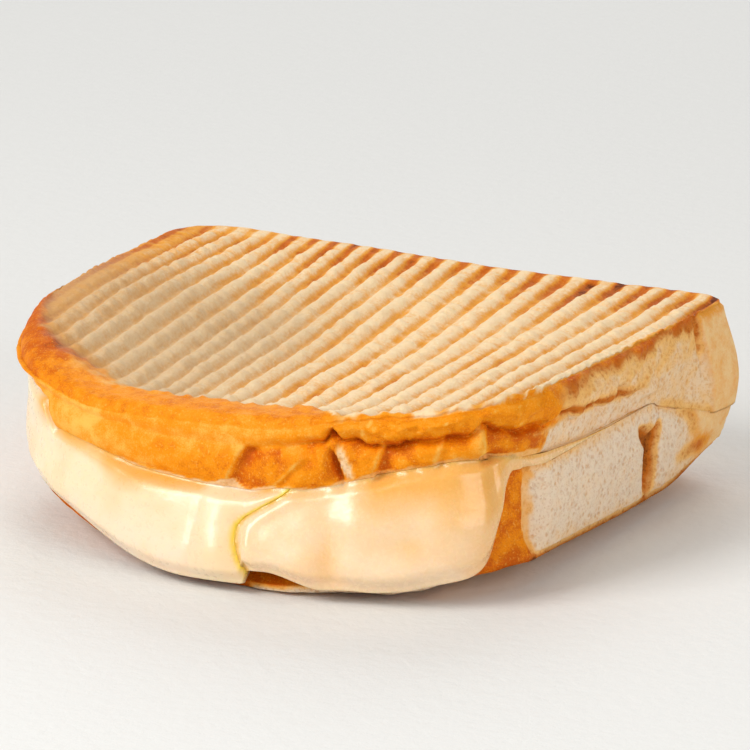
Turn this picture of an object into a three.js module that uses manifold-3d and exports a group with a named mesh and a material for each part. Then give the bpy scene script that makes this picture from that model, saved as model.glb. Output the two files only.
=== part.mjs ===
// A grilled cheese sandwich, pressed in a ribbed grill: two slices of bread with
// melted cheese between them, which has run out and hangs over the front.
// Millimetres, +Z up. The slices are drawn in a frame whose +X runs across the
// grill's ridges and whose +Y runs along them to the back; at the end the whole
// is moved so that the middle of its base is the origin.
import * as THREE from 'three';
import { mergeVertices } from 'three/addons/utils/BufferGeometryUtils.js';
import Module from 'manifold-3d';

const wasm = await Module();
wasm.setup();

// ---------------------------------------------------------------- dimensions

// Plan of a slice: straight sides and back, and a domed front.
const PLAN = {
  left: -55.5, right: 60, front: -66, back: 39,
  crown: 20, crownX: 10, crownReach: 60,
  radius: { frontLeft: 18, frontRight: 12, backLeft: 12, backRight: 5 },
  splay: 4.5,
};

// A pair of places is where something begins and where it is complete. The second
// may be the lower one.

// Upper face: the heights of the rim, and the dish that the press left in it.
const FACE = {
  frontLeft: 33, frontSlope: 0.0375, slopeFrom: -50,
  frontRightLift: 1.7, rightLiftSpan: [42, 62],
  backLeft: 38.8, backFall: 1.9, backFallSpan: [-50, 40],
  fullHeightY: { left: 4, right: 30 },
  dish: 5.3, dishLeft: [-46, -18], dishRight: [52, 10], dishBack: [46, -20], dishFront: [-78, -42],
};

// The cheese layer between the slices. Its middle rises to both ends, and the most
// at the front right corner.
const LAYER = {
  height: 17.3, half: 1.1, innerHalf: 0.75,
  leftRise: 4, leftSpan: [0, -62],
  rightRise: 6.2, rightSpan: [18, 58],
  cornerRise: 2.2, cornerX: 48, cornerY: -55, cornerHalfWidth: 18, cornerHalfDepth: 22,
};

// Underside: flat in the middle, lifted at both ends and the most at the front left.
const BASE = {
  leftLift: 10, leftFrom: { front: 2, behind: -20 }, frontZone: [-28, -50],
  backShare: 0.5, backZone: [20, -45],
  rightLift: 3.8, rightFrom: 38, frontRightLift: 1.2, frontRightZone: [0, -45],
  cornerLift: 4, cornerX: [44, 60], cornerY: [12, 38],
  edgeRound: 0.8,
};

// Ridges of the grill, which fade towards the front rim and the back edge.
const RIDGE = {
  pitch: 5.3, firstValley: -52.1, count: 21, depth: 1.2,
  frontShare: 0.5, frontFade: 4, backShare: 0.25, backFade: 6, lowerShare: 0.8,
};

const GAP = 0.3;
const SLICE_GAP = LAYER.half + GAP;

// A face is drawn along with its walls as far as this from them.
const FOLLOW_REACH = 12;

// Where the crust is the front's, which the cheese hangs over, and where the apron
// of cheese hangs: by y, on the left side and on the right side.
const FRONT_CRUST = { left: [22, 12], right: [-37, -43] };
const HANGING = { left: [10, -32], right: [-42, -57] };

// Front crust of the upper slice: a rolled lip, a crease under it and a lower tier.
const CRUST = {
  lip: 1.4, crease: 2.2, creaseHalf: 0.07, tier: 1.3, tuck: 0.9,
  sideBulge: 1.5, cornerBulge: 2.8, cornerX: [46, 60], cornerY: [14, 36],
  groove: 0.9, grooveLevel: 0.6, grooveX: [40, 55], grooveY: [-44, -36],
};

// Levels run down a wall from 0 at its top to 1 at its foot. The crease lies high
// at the left end and low at the right.
const CREASE_LEVEL = { left: 0.14, middleDrop: 0.12, middle: [-45, -5], rightDrop: 0.22, right: [15, 55] };

// Puckers in the lower tier, from left to right: place, half width, depth inwards.
const PUCKERS = [
  { x: -2, halfWidth: 2.2, depth: 0.8 },
  { x: 10, halfWidth: 2.0, depth: 0.7 },
  { x: 24.5, halfWidth: 2.4, depth: 3.2 },
  { x: 38.5, halfWidth: 2.2, depth: 1.6 },
  { x: 53, halfWidth: 2.4, depth: 2.4 },
];

// Everything under the lip is drawn in at the left end.
const LEFT_PINCH = { depth: 3.2, span: [-32, -52] };

// The lower slice: its front is tucked in behind the cheese and flares at the base,
// the most under the notch in the apron's lip.
const LOWER = {
  tuck: 2.2, flare: 4.2, flareShare: 0.45, flareHalfWidth: 9, flareLevel: [0.76, 0.96], flareX: [-50, -5],
  sideBulge: 1.2, footInset: 0.6,
};

// The apron of cheese that hangs over the front and the left end: how far it stands
// out, the height of its lip over the slice's underside, and the notch in that lip.
const APRON = {
  top: 1.2, bulge: 5.4, bulgeLevel: 0.8, leftBulge: 1.2, leftX: [4, -36],
  lipInset: 1.6, lipLevel: 0.82, lipThickness: 2.6, lipRound: 0.25, clearance: 0.7,
  lipHeight: 2.2, leftLipLift: 0.4, leftLipX: [0, -30],
  notch: 2.6, notchX: 21, notchLeft: [-6.5, -3.5], notchRight: [9.5, 0],
};

// Where the cheese is only a layer, its edge is round and lies inside the crust.
const LAYER_EDGE = { inset: 0.9, round: 0.7, foot: 0.5, inner: 1.4, innerSlope: 3, hangingInset: 0.6 };

// The seam between the two sheets of cheese, an S in the view from the front.
const SEAM = { foot: 15.5, waist: 12, waistHeight: 11, head: 22, headHeight: 19, bendShare: 0.45 };

const LAYER_MIDDLE = new THREE.Vector2(0, -8);

// ------------------------------------------------------------------- helpers

/** 0 before `from`, 1 after `to`, and a smooth step between; `to` may be the lower. */
const smooth = (from, to, value) => {
  const t = Math.min(Math.max((value - from) / (to - from), 0), 1);
  return t * t * (3 - 2 * t);
};
const mix = (a, b, t) => a + (b - a) * t;
const bump = (value, middle, halfWidth) => Math.exp(-(((value - middle) / halfWidth) ** 2));

/** How far a corner arc of `radius` has drawn the edge in, at `distance` from its end. */
const arcDrop = (radius, distance) => (distance >= radius
  ? 0 : radius - Math.sqrt(Math.max(radius ** 2 - (radius - Math.max(distance, 0)) ** 2, 0)));

const frontEdge = (x) => PLAN.front + PLAN.crown * ((x - PLAN.crownX) / PLAN.crownReach) ** 2
  + arcDrop(PLAN.radius.frontLeft, x - PLAN.left)
  + arcDrop(PLAN.radius.frontRight, PLAN.right - x);
const backEdge = (x) => PLAN.back
  - arcDrop(PLAN.radius.backLeft, x - PLAN.left)
  - arcDrop(PLAN.radius.backRight, PLAN.right - x);

/** Smooth height of the upper face, without its ridges. */
function faceHeight(x, y) {
  const front = FACE.frontLeft + FACE.frontSlope * (x - FACE.slopeFrom)
    + FACE.frontRightLift * smooth(...FACE.rightLiftSpan, x);
  const back = FACE.backLeft - FACE.backFall * smooth(...FACE.backFallSpan, x);
  const fullHeight = mix(FACE.fullHeightY.left, FACE.fullHeightY.right, smooth(PLAN.left, PLAN.right, x));
  const rim = mix(front, back, smooth(PLAN.front, fullHeight, y));
  const across = smooth(...FACE.dishLeft, x) * smooth(...FACE.dishRight, x);
  const along = smooth(...FACE.dishBack, y) * smooth(...FACE.dishFront, y);
  return rim - FACE.dish * across * along;
}

/** Height of the middle of the cheese layer. */
function layerHeight(x, y) {
  return LAYER.height
    + LAYER.leftRise * smooth(...LAYER.leftSpan, x)
    + LAYER.rightRise * smooth(...LAYER.rightSpan, x)
    + LAYER.cornerRise * bump(x, LAYER.cornerX, LAYER.cornerHalfWidth)
      * bump(y, LAYER.cornerY, LAYER.cornerHalfDepth);
}

/** Height of the underside, without its ridges. */
function baseHeight(x, y) {
  const leftFrom = mix(BASE.leftFrom.behind, BASE.leftFrom.front, smooth(...BASE.frontZone, y));
  const leftShare = mix(BASE.backShare, 1, smooth(...BASE.backZone, y));
  const rightLift = BASE.rightLift + BASE.frontRightLift * smooth(...BASE.frontRightZone, y);
  return BASE.leftLift * leftShare * smooth(leftFrom, PLAN.left - 2, x)
    + rightLift * smooth(BASE.rightFrom, PLAN.right, x)
    + BASE.cornerLift * smooth(...BASE.cornerX, x) * smooth(...BASE.cornerY, y);
}

/** Share of the ridge's depth that a valley takes at x: 1 in a valley, 0 on a crest. */
const valley = (x) => {
  const ridged = smooth(PLAN.left, PLAN.left + 8, x) * smooth(PLAN.right, PLAN.right - 3, x);
  return ridged * (0.5 + 0.5 * Math.cos((2 * Math.PI * (x - RIDGE.firstValley)) / RIDGE.pitch));
};

/** Depth of the ribbing at a place, shallow at the front rim and at the back edge. */
const ridgeDepth = (x, y) => RIDGE.depth * valley(x)
  * mix(RIDGE.frontShare, 1, smooth(0, RIDGE.frontFade, y - frontEdge(x)))
  * mix(RIDGE.backShare, 1, smooth(0, RIDGE.backFade, backEdge(x) - y));

/** Columns across the ridges: `perRidge` to a ridge, and more where the corners turn. */
function columns(perRidge) {
  const first = RIDGE.firstValley - RIDGE.pitch / 2;
  const steps = RIDGE.count * perRidge;
  const inner = Array.from({ length: steps + 1 },
    (_, index) => first + (index * RIDGE.pitch) / perRidge);
  const ends = [0, 0.35, 1.2];
  return [
    ...ends.map((end) => PLAN.left + end),
    ...inner.filter((x) => x > PLAN.left + 2 && x < PLAN.right - 2.4),
    ...ends.map((end) => PLAN.right - end).reverse(),
  ];
}

/** Unit normal of the outline, pointing out, at a place on one of its four edges. */
function outwardNormal(x, onFront, onBack) {
  if (!onFront && !onBack) return new THREE.Vector2(x < 0 ? -1 : 1, 0);
  const edge = onFront ? frontEdge : backEdge;
  const step = 0.02;
  const from = Math.max(x - step, PLAN.left);
  const to = Math.min(x + step, PLAN.right);
  const slope = (edge(to) - edge(from)) / (to - from);
  const atEnd = to - from < 1.5 * step;
  const normal = atEnd ? new THREE.Vector2(x < 0 ? -1 : 1, 0)
    : new THREE.Vector2(slope, -1).multiplyScalar(onFront ? 1 : -1);
  return normal.normalize();
}

/** The right side leans out towards the back. */
const splayed = (x, y) => x
  + PLAN.splay * smooth(0, PLAN.right, x) * ((y + 40) / (PLAN.back + 40));

/** Share of a zone that is given by y on each side of the slice. */
const inZone = (zone, x, y) => smooth(...(x < 0 ? zone.left : zone.right), y);

/** A closed mesh as a solid of the boolean library. */
function solidOf(geometry) {
  const bare = geometry.clone();
  bare.deleteAttribute('normal');
  bare.deleteAttribute('uv');
  const merged = mergeVertices(bare);
  return new wasm.Manifold(new wasm.Mesh({
    numProp: 3,
    vertProperties: new Float32Array(merged.attributes.position.array),
    triVerts: new Uint32Array(merged.index.array),
  }));
}

function geometryOf(solid) {
  const mesh = solid.getMesh();
  const geometry = new THREE.BufferGeometry();
  const stride = mesh.numProp;
  const count = mesh.vertProperties.length / stride;
  const points = new Float32Array(3 * count);
  for (let index = 0; index < count; index += 1) {
    points.set(mesh.vertProperties.subarray(index * stride, index * stride + 3), 3 * index);
  }
  geometry.setAttribute('position', new THREE.BufferAttribute(points, 3));
  geometry.setIndex(new THREE.BufferAttribute(new Uint32Array(mesh.triVerts), 1));
  geometry.computeVertexNormals();
  return geometry;
}

// -------------------------------------------------------------------- slices

/** Where a point of a face lies once the walls near it have moved in or out. */
function followed(x, y, level, wallOffset) {
  const share = (distance) => smooth(FOLLOW_REACH, 0, distance);
  const left = wallOffset(PLAN.left, y, level) * share(x - PLAN.left);
  const right = wallOffset(PLAN.right, y, level) * share(PLAN.right - x);
  const front = wallOffset(x, frontEdge(x), level) * share(y - frontEdge(x));
  const back = wallOffset(x, backEdge(x), level) * share(backEdge(x) - y);
  return new THREE.Vector2(x + right - left, y + back - front);
}

/**
 * A slice of bread from a segmented box: its upper and lower faces become height
 * fields over the plan, and its four sides take the crust's profile.
 */
function sliceGeometry({ xs, rows, wallRows, wallLevel, upper, lower, wallOffset, wallHeight }) {
  const geometry = new THREE.BoxGeometry(1, 1, 1, xs.length - 1, rows, wallRows);
  const position = geometry.attributes.position;
  for (let index = 0; index < position.count; index += 1) {
    const column = Math.round((position.getX(index) + 0.5) * (xs.length - 1));
    const along = position.getY(index) + 0.5;
    const x = xs[column];
    const level = wallLevel(Math.round((0.5 - position.getZ(index)) * wallRows), x);
    const y = mix(frontEdge(x), backEdge(x), along);
    const onFront = along < 1e-6;
    const onBack = along > 1 - 1e-6;
    const onSide = column === 0 || column === xs.length - 1;
    let place;
    let z;
    if (onFront || onBack || onSide) {
      const normal = outwardNormal(x, onFront, onBack);
      const spot = (height) => new THREE.Vector2(x, y)
        .addScaledVector(normal, wallOffset(x, y, height));
      place = spot(level);
      z = wallHeight(level, upper(spot(0).x, spot(0).y), lower(spot(1).x, spot(1).y));
    } else {
      place = followed(x, y, level, wallOffset);
      z = level === 0 ? upper(place.x, place.y) : lower(place.x, place.y);
    }
    position.setXYZ(index, splayed(place.x, place.y), place.y, z);
  }
  return geometry;
}

/** How far the left end is drawn in under the lip. */
const leftPinch = (x) => LEFT_PINCH.depth * smooth(...LEFT_PINCH.span, x);

/** Extra bulge of the back right corner, where the crust of both slices swells. */
const cornerSwell = (x, y) => CRUST.cornerBulge * smooth(...CRUST.cornerX, x)
  * smooth(...CRUST.cornerY, y);

const creaseLevel = (x) => CREASE_LEVEL.left
  + CREASE_LEVEL.middleDrop * smooth(...CREASE_LEVEL.middle, x)
  + CREASE_LEVEL.rightDrop * smooth(...CREASE_LEVEL.right, x);

const pucker = (x) => PUCKERS.reduce(
  (sum, fold) => sum + fold.depth * bump(x, fold.x, fold.halfWidth), 0);

/** The upper slice's wall: rolled lip, crease and tier at the front, plain elsewhere. */
function upperWallOffset(x, y, level) {
  const crease = creaseLevel(x);
  const tierMiddle = (1 + crease) / 2;
  const tierHeight = 1 - crease;
  const rolled = CRUST.lip * bump(level, crease * 0.45, crease * 0.36)
    - CRUST.crease * bump(level, crease, CRUST.creaseHalf)
    + CRUST.tier * bump(level, tierMiddle, tierHeight * 0.38)
    - CRUST.tuck * smooth(0.86, 1, level)
    - pucker(x) * bump(level, tierMiddle, tierHeight * 0.34);
  const groove = CRUST.groove * bump(level, CRUST.grooveLevel, 0.1)
    * smooth(...CRUST.grooveX, x) * smooth(...CRUST.grooveY, y);
  const plain = CRUST.sideBulge * Math.sin(Math.PI * Math.min(1, 0.12 + level * 0.8))
    - groove + cornerSwell(x, y) * smooth(0, 0.8, level);
  const drawnIn = leftPinch(x) * smooth(0, 0.35, level);
  return mix(level === 0 ? 0 : plain, rolled, inZone(FRONT_CRUST, x, y)) - drawnIn;
}

function upperSlice() {
  const lipLevels = [0, 0.33, 0.68, 1];
  const tierLevels = [0.16, 0.5, 0.82, 1];
  return sliceGeometry({
    xs: columns(3),
    rows: 11,
    wallRows: lipLevels.length + tierLevels.length - 1,
    wallLevel: (row, x) => (row < lipLevels.length ? creaseLevel(x) * lipLevels[row]
      : mix(creaseLevel(x), 1, tierLevels[row - lipLevels.length])),
    upper: (x, y) => faceHeight(x, y) - ridgeDepth(x, y),
    lower: (x, y) => layerHeight(x, y) + SLICE_GAP,
    wallOffset: upperWallOffset,
    wallHeight: (level, top, bottom) => mix(top, bottom, level),
  });
}

/** The lower slice's wall: tucked in and flared at the front, plain elsewhere. */
function lowerWallOffset(x, y, level) {
  const flareShare = mix(LOWER.flareShare, 1, bump(x, APRON.notchX, LOWER.flareHalfWidth));
  const flare = LOWER.flare * flareShare * smooth(...LOWER.flareLevel, level)
    * smooth(...LOWER.flareX, x);
  const plain = LOWER.sideBulge * Math.sin(Math.PI * Math.min(1, 0.1 + level * 0.85))
    + cornerSwell(x, y) * smooth(1, 0.1, level);
  return mix(level === 1 ? -LOWER.footInset : plain, flare - LOWER.tuck, inZone(FRONT_CRUST, x, y))
    - leftPinch(x);
}

function lowerSlice() {
  const levels = [0, 0.12, 0.32, 0.54, 0.76, 0.88, 0.95, 1];
  const rounding = (level) => (level < 1 ? BASE.edgeRound * smooth(0.9, 1, level) : 0);
  return sliceGeometry({
    xs: columns(2),
    rows: 10,
    wallRows: levels.length - 1,
    wallLevel: (row) => levels[row],
    upper: (x, y) => layerHeight(x, y) - SLICE_GAP,
    lower: (x, y) => baseHeight(x, y) + RIDGE.lowerShare * ridgeDepth(x, y),
    wallOffset: lowerWallOffset,
    wallHeight: (level, top, bottom) => mix(top, bottom + rounding(level), level),
  });
}

// -------------------------------------------------------------------- cheese

/** The outline of a slice as a closed path, resampled at even steps. */
function outlinePoints(count) {
  const xs = columns(3);
  const points = [
    ...xs.map((x) => new THREE.Vector2(x, frontEdge(x))),
    ...xs.map((x) => new THREE.Vector2(x, backEdge(x))).reverse(),
  ];
  const path = new THREE.Path(points);
  path.closePath();
  return path.getSpacedPoints(count).slice(0, count);
}

/** Outer face of the apron: how far it stands out, from its top (0) to its lip (1). */
function apronOffset(x, t) {
  const reach = mix(APRON.bulge, APRON.leftBulge, smooth(...APRON.leftX, x));
  return APRON.top * smooth(0, 0.1, t)
    + reach * Math.sin((Math.PI / 2) * Math.min(1, t / APRON.bulgeLevel)) ** 1.5
    - APRON.lipInset * smooth(APRON.lipLevel, 1, t);
}

/** Height of the apron's lower lip. */
function lipHeight(x, y) {
  const fromNotch = x - APRON.notchX;
  const notch = smooth(...APRON.notchLeft, fromNotch) * smooth(...APRON.notchRight, fromNotch);
  return baseHeight(x, y) + APRON.lipHeight + APRON.notch * notch
    + APRON.leftLipLift * smooth(...APRON.leftLipX, x);
}

/** A point of the cheese's skin on one ring, out from a point of the slices' outline. */
function skinPoint(ring, here, normal) {
  const { x, y } = here;
  if (ring.kind === 'upper' || ring.kind === 'under') {
    const spot = LAYER_MIDDLE.clone().lerp(here, ring.share);
    const side = ring.kind === 'upper' ? LAYER.innerHalf : -LAYER.innerHalf;
    return new THREE.Vector3(spot.x, spot.y, layerHeight(spot.x, spot.y) + side);
  }
  const hang = inZone(HANGING, x, y);
  const spread = smooth(0, 0.3, hang);
  const drop = smooth(0.3, 1, hang);
  const drawnIn = leftPinch(x);
  const edge = LAYER_EDGE.round * Math.sin(Math.PI * ring.share) - LAYER_EDGE.inset;
  const offsets = {
    outer: () => mix(edge, mix(-LAYER_EDGE.hangingInset, apronOffset(x, ring.share), drop), spread)
      - drawnIn,
    lip: () => mix(edge - LAYER_EDGE.foot, mix(-1, apronOffset(x, 1) - APRON.lipThickness / 2, drop), spread)
      - drawnIn,
    inner: () => {
      const innerTop = APRON.clearance - LOWER.tuck - drawnIn;
      const innerFoot = APRON.clearance + lowerWallOffset(x, y, 0.9);
      const inner = mix(innerTop, innerFoot, smooth(0.55, 0.9, ring.share));
      const plain = edge - LAYER_EDGE.inner - (0.9 - ring.share) * LAYER_EDGE.innerSlope - drawnIn;
      return mix(plain, mix(innerTop, inner, drop), spread);
    },
  };
  const spot = here.clone().addScaledVector(normal, offsets[ring.kind]());
  const layer = layerHeight(spot.x, spot.y);
  const lip = mix(layer - LAYER.half, lipHeight(x, y), drop);
  const heights = {
    outer: mix(layer + LAYER.half, lip, ring.share),
    lip: lip - APRON.lipRound * drop,
    inner: mix(layer - LAYER.half, lip, ring.share * drop),
  };
  return new THREE.Vector3(spot.x, spot.y, heights[ring.kind]);
}

/**
 * The cheese as a closed skin from a sphere's grid: rings from the middle of the
 * layer's upper face out to its edge, down the apron, round its lip, up its inner
 * face and back to the middle of the layer's underside.
 */
function cheeseGeometry() {
  const outline = outlinePoints(84);
  const count = outline.length;
  const faceRings = [0, 0.45, 0.7, 0.88];
  const rings = [
    ...faceRings.map((share) => ({ kind: 'upper', share })),
    ...[0, 0.1, 0.25, 0.42, 0.6, 0.78, 0.9, 1].map((share) => ({ kind: 'outer', share })),
    { kind: 'lip', share: 1 },
    ...[0.9, 0.55, 0].map((share) => ({ kind: 'inner', share })),
    ...faceRings.map((share) => ({ kind: 'under', share })).reverse(),
  ];
  const geometry = new THREE.SphereGeometry(1, count, rings.length - 1);
  const position = geometry.attributes.position;
  rings.forEach((ring, row) => {
    for (let index = 0; index <= count; index += 1) {
      const here = outline[index % count];
      const next = outline[(index + 1) % count];
      const last = outline[(index + count - 1) % count];
      const normal = new THREE.Vector2(next.y - last.y, last.x - next.x).normalize();
      const point = skinPoint(ring, here, normal);
      position.setXYZ(row * (count + 1) + index, splayed(point.x, point.y), point.y, point.z);
    }
  });
  return geometry;
}

/** A thin curtain along the seam, which parts the cheese into two sheets. */
function seamGeometry() {
  const points = new THREE.CatmullRomCurve3([
    new THREE.Vector3(SEAM.foot, -5, 0),
    new THREE.Vector3(SEAM.foot, 0, 0),
    new THREE.Vector3(SEAM.waist, SEAM.waistHeight, 0),
    new THREE.Vector3(mix(SEAM.waist, SEAM.head, SEAM.bendShare), SEAM.headHeight - 3, 0),
    new THREE.Vector3(SEAM.head, SEAM.headHeight + 1, 0),
    new THREE.Vector3(SEAM.head + 2, 40, 0),
  ]).getPoints(20);
  const half = GAP / 2;
  const curtain = new THREE.Shape([
    ...points.map((point) => new THREE.Vector2(point.x - half, point.y)),
    ...points.map((point) => new THREE.Vector2(point.x + half, point.y)).reverse(),
  ]);
  const depth = 1.3 * (PLAN.back - PLAN.front);
  const geometry = new THREE.ExtrudeGeometry(curtain, { depth, bevelEnabled: false });
  geometry.rotateX(Math.PI / 2);
  geometry.translate(0, (PLAN.back + PLAN.front + depth) / 2, 0);
  return geometry;
}

function cheeseSheets() {
  const parted = solidOf(cheeseGeometry()).subtract(solidOf(seamGeometry()));
  const pieces = parted.decompose();
  const middleX = (piece) => (piece.boundingBox().min[0] + piece.boundingBox().max[0]) / 2;
  pieces.sort((a, b) => middleX(a) - middleX(b));
  return pieces.map(geometryOf);
}

// --------------------------------------------------------------------- model

const finishes = {
  toast: new THREE.MeshStandardMaterial({ color: 0xd9a45c, roughness: 0.85, metalness: 0 }),
  crumb: new THREE.MeshStandardMaterial({ color: 0xe6cdb0, roughness: 0.9, metalness: 0 }),
  paleCheese: new THREE.MeshStandardMaterial({ color: 0xf6d993, roughness: 0.35, metalness: 0 }),
  amberCheese: new THREE.MeshStandardMaterial({ color: 0xf2b878, roughness: 0.3, metalness: 0 }),
};

function named(name, geometry, material) {
  const mesh = new THREE.Mesh(geometry, material);
  mesh.name = name;
  return mesh;
}

const [leftSheet, rightSheet] = cheeseSheets();
const group = new THREE.Group();
group.add(
  named('top_slice', upperSlice(), finishes.toast),
  named('bottom_slice', lowerSlice(), finishes.crumb),
  named('cheese_left', leftSheet, finishes.paleCheese),
  named('cheese_right', rightSheet, finishes.amberCheese),
);

const box = new THREE.Box3().setFromObject(group);
group.position.set(-(box.min.x + box.max.x) / 2, -(box.min.y + box.max.y) / 2, -box.min.z);

export default group;
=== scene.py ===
"""A grilled cheese sandwich: two pressed slices of bread and the melted cheese between them.

Sizes are millimetres in the slices' own frame: +X across the grill's ridges, +Y along
them to the back, +Z up. Every finished mesh is moved to the CAD frame, in metres.
"""

import logging
import math
from dataclasses import dataclass
from enum import Enum
from functools import lru_cache
from typing import Callable

import bmesh
import bpy
import numpy as np
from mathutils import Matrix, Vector

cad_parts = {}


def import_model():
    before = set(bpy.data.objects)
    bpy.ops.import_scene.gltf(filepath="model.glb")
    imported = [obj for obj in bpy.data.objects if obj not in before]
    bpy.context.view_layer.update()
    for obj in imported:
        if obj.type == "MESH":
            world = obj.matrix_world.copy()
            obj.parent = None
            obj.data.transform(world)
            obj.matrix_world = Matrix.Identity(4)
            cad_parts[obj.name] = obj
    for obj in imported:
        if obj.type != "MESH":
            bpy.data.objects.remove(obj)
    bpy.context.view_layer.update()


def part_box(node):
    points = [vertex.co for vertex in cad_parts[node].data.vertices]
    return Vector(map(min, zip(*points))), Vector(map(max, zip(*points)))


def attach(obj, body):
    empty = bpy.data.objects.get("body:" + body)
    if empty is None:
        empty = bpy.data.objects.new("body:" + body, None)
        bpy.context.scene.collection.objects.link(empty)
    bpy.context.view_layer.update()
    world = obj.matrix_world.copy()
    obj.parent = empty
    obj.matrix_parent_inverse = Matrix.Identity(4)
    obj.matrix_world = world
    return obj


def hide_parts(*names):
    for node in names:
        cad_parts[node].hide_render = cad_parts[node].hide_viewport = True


LOG = logging.getLogger("sandwich")
MM = 0.001
LATTICE_SIZE = 32
LONG = 99.0  # a noise cell so long that the noise hardly changes along it
ON_EDGE = 1e-5  # a vertex nearer than this to the unit box's side lies on it
Array = np.ndarray
Masks = dict[str, Array]
Colour = tuple[float, float, float]
Place = tuple[float, float, float]
Socket = bpy.types.NodeSocket


# ------------------------------------------------------------------ number helpers


def smooth(start: float | Array, end: float | Array, value: float | Array) -> Array:
    """Smooth step from 0 at start to 1 at end, where end may be the lower of the two."""
    share = np.clip((np.asarray(value, float) - start) / (np.asarray(end, float) - start), 0.0, 1.0)
    return share * share * (3.0 - 2.0 * share)


def mix(first: float | Array, second: float | Array, share: float | Array) -> Array:
    """Value between first and second."""
    return first + (second - first) * share


def bump(value: float | Array, middle: float | Array, half_width: float | Array) -> Array:
    """Bell of height 1 round middle."""
    return np.exp(-(((value - middle) / half_width) ** 2))


@lru_cache(maxsize=None)
def lattice(seed: int) -> Array:
    """A block of random values between -1 and 1."""
    return np.random.default_rng(seed).uniform(-1.0, 1.0, (LATTICE_SIZE,) * 3)


def noise(points: Array, cell: float | Place, seed: int) -> Array:
    """Smooth random values.

    Args:
        points: (n, 3) places in millimetres.
        cell: size of one lump in millimetres, or one size for each axis.
        seed: picks the random lattice.

    Returns:
        (n,) values between -1 and 1.
    """
    values = lattice(seed)
    scaled = points / np.asarray(cell, float)
    low = np.floor(scaled).astype(int)
    share = scaled - low
    share = share * share * (3.0 - 2.0 * share)
    low %= LATTICE_SIZE
    high = (low + 1) % LATTICE_SIZE

    def row(y: Array, z: Array) -> Array:
        """Values along X, at one row of the lattice."""
        return mix(values[low[:, 0], y, z], values[high[:, 0], y, z], share[:, 0])

    near = mix(row(low[:, 1], low[:, 2]), row(high[:, 1], low[:, 2]), share[:, 1])
    far = mix(row(low[:, 1], high[:, 2]), row(high[:, 1], high[:, 2]), share[:, 1])
    return mix(near, far, share[:, 2])


def rough(points: Array, cell: float, seed: int) -> Array:
    """Noise of three sizes, each half as large and half as strong as the last."""
    shares = [0.5**octave for octave in range(3)]
    return sum(noise(points, cell * share, seed + k) * share for k, share in enumerate(shares)) / sum(shares)


def stacked(x: Array, y: Array, z: Array) -> Array:
    """Three coordinate arrays as (n, 3) places."""
    return np.stack([x, y, z], axis=1)


def flat_noise(x: Array, y: Array, cell_x: float, cell_y: float, seed: int) -> Array:
    """Noise over the plan, with the size of one lump along X and Y."""
    return noise(stacked(x, y, np.zeros_like(x)), (cell_x, cell_y, LONG), seed)


# ------------------------------------------------------------------- shared shape


@dataclass(frozen=True)
class Plan:
    """Outline of both slices seen from above: straight sides and back, a domed front."""

    left: float = -55.5
    right: float = 60.0
    front: float = -66.0
    back: float = 39.0
    crown: float = 20.0
    crown_x: float = 10.0
    crown_reach: float = 60.0
    front_left_radius: float = 18.0
    front_right_radius: float = 12.0
    back_left_radius: float = 12.0
    back_right_radius: float = 5.0
    splay: float = 4.5
    splay_from_y: float = -40.0

    @staticmethod
    def corner_drop(radius: float, distance: Array) -> Array:
        """How far a corner's arc has drawn the edge in, at a distance from the slice's end."""
        inside = np.clip(radius - np.clip(distance, 0.0, None), 0.0, None)
        return radius - np.sqrt(radius**2 - inside**2)

    def front_edge(self, x: Array) -> Array:
        """Y of the front edge at x."""
        dome = self.front + self.crown * ((x - self.crown_x) / self.crown_reach) ** 2
        return (
            dome
            + self.corner_drop(self.front_left_radius, x - self.left)
            + self.corner_drop(self.front_right_radius, self.right - x)
        )

    def back_edge(self, x: Array) -> Array:
        """Y of the back edge at x."""
        return (
            self.back
            - self.corner_drop(self.back_left_radius, x - self.left)
            - self.corner_drop(self.back_right_radius, self.right - x)
        )

    def normal(self, x: Array, on_front: Array, on_back: Array) -> tuple[Array, Array]:
        """Unit normal of the outline, pointing out, on whichever edge a point lies."""
        step = 0.02
        ahead, behind = np.minimum(x + step, self.right), np.maximum(x - step, self.left)
        run = ahead - behind
        front_slope = (self.front_edge(ahead) - self.front_edge(behind)) / run
        back_slope = (self.back_edge(ahead) - self.back_edge(behind)) / run
        slope = np.where(on_front, front_slope, back_slope)
        sign = np.where(on_front, 1.0, -1.0)
        nx, ny = slope * sign, -sign
        on_end = (~on_front & ~on_back) | (run < 1.5 * step)
        nx = np.where(on_end, np.sign(x), nx)
        ny = np.where(on_end, 0.0, ny)
        length = np.hypot(nx, ny)
        return nx / length, ny / length

    def inside(self, x: Array, y: Array) -> Array:
        """Roughly how far inside the outline a place lies."""
        ends = np.minimum(x - self.left, self.right - x)
        sides = np.minimum(y - self.front_edge(x), self.back_edge(x) - y)
        return np.clip(np.minimum(ends, sides), 0.0, None)

    def band(self, x: Array) -> Array:
        """Width of the crust that shows along the front of the face."""
        return mix(mix(12.6, 8.0, smooth(-20.0, -44.0, x)), 0.4, smooth(14.0, 33.0, x))

    def splayed(self, x: Array, y: Array) -> Array:
        """X once the right side leans out towards the back."""
        return x + self.splay * smooth(0.0, self.right, x) * (
            (y - self.splay_from_y) / (self.back - self.splay_from_y)
        )


# Where the front's crust and the hanging cheese start and are full, in y, at each side.
FRONT_CRUST_LEFT, FRONT_CRUST_RIGHT = (22.0, 12.0), (-37.0, -43.0)
HANGING_LEFT, HANGING_RIGHT = (10.0, -32.0), (-42.0, -57.0)


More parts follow.
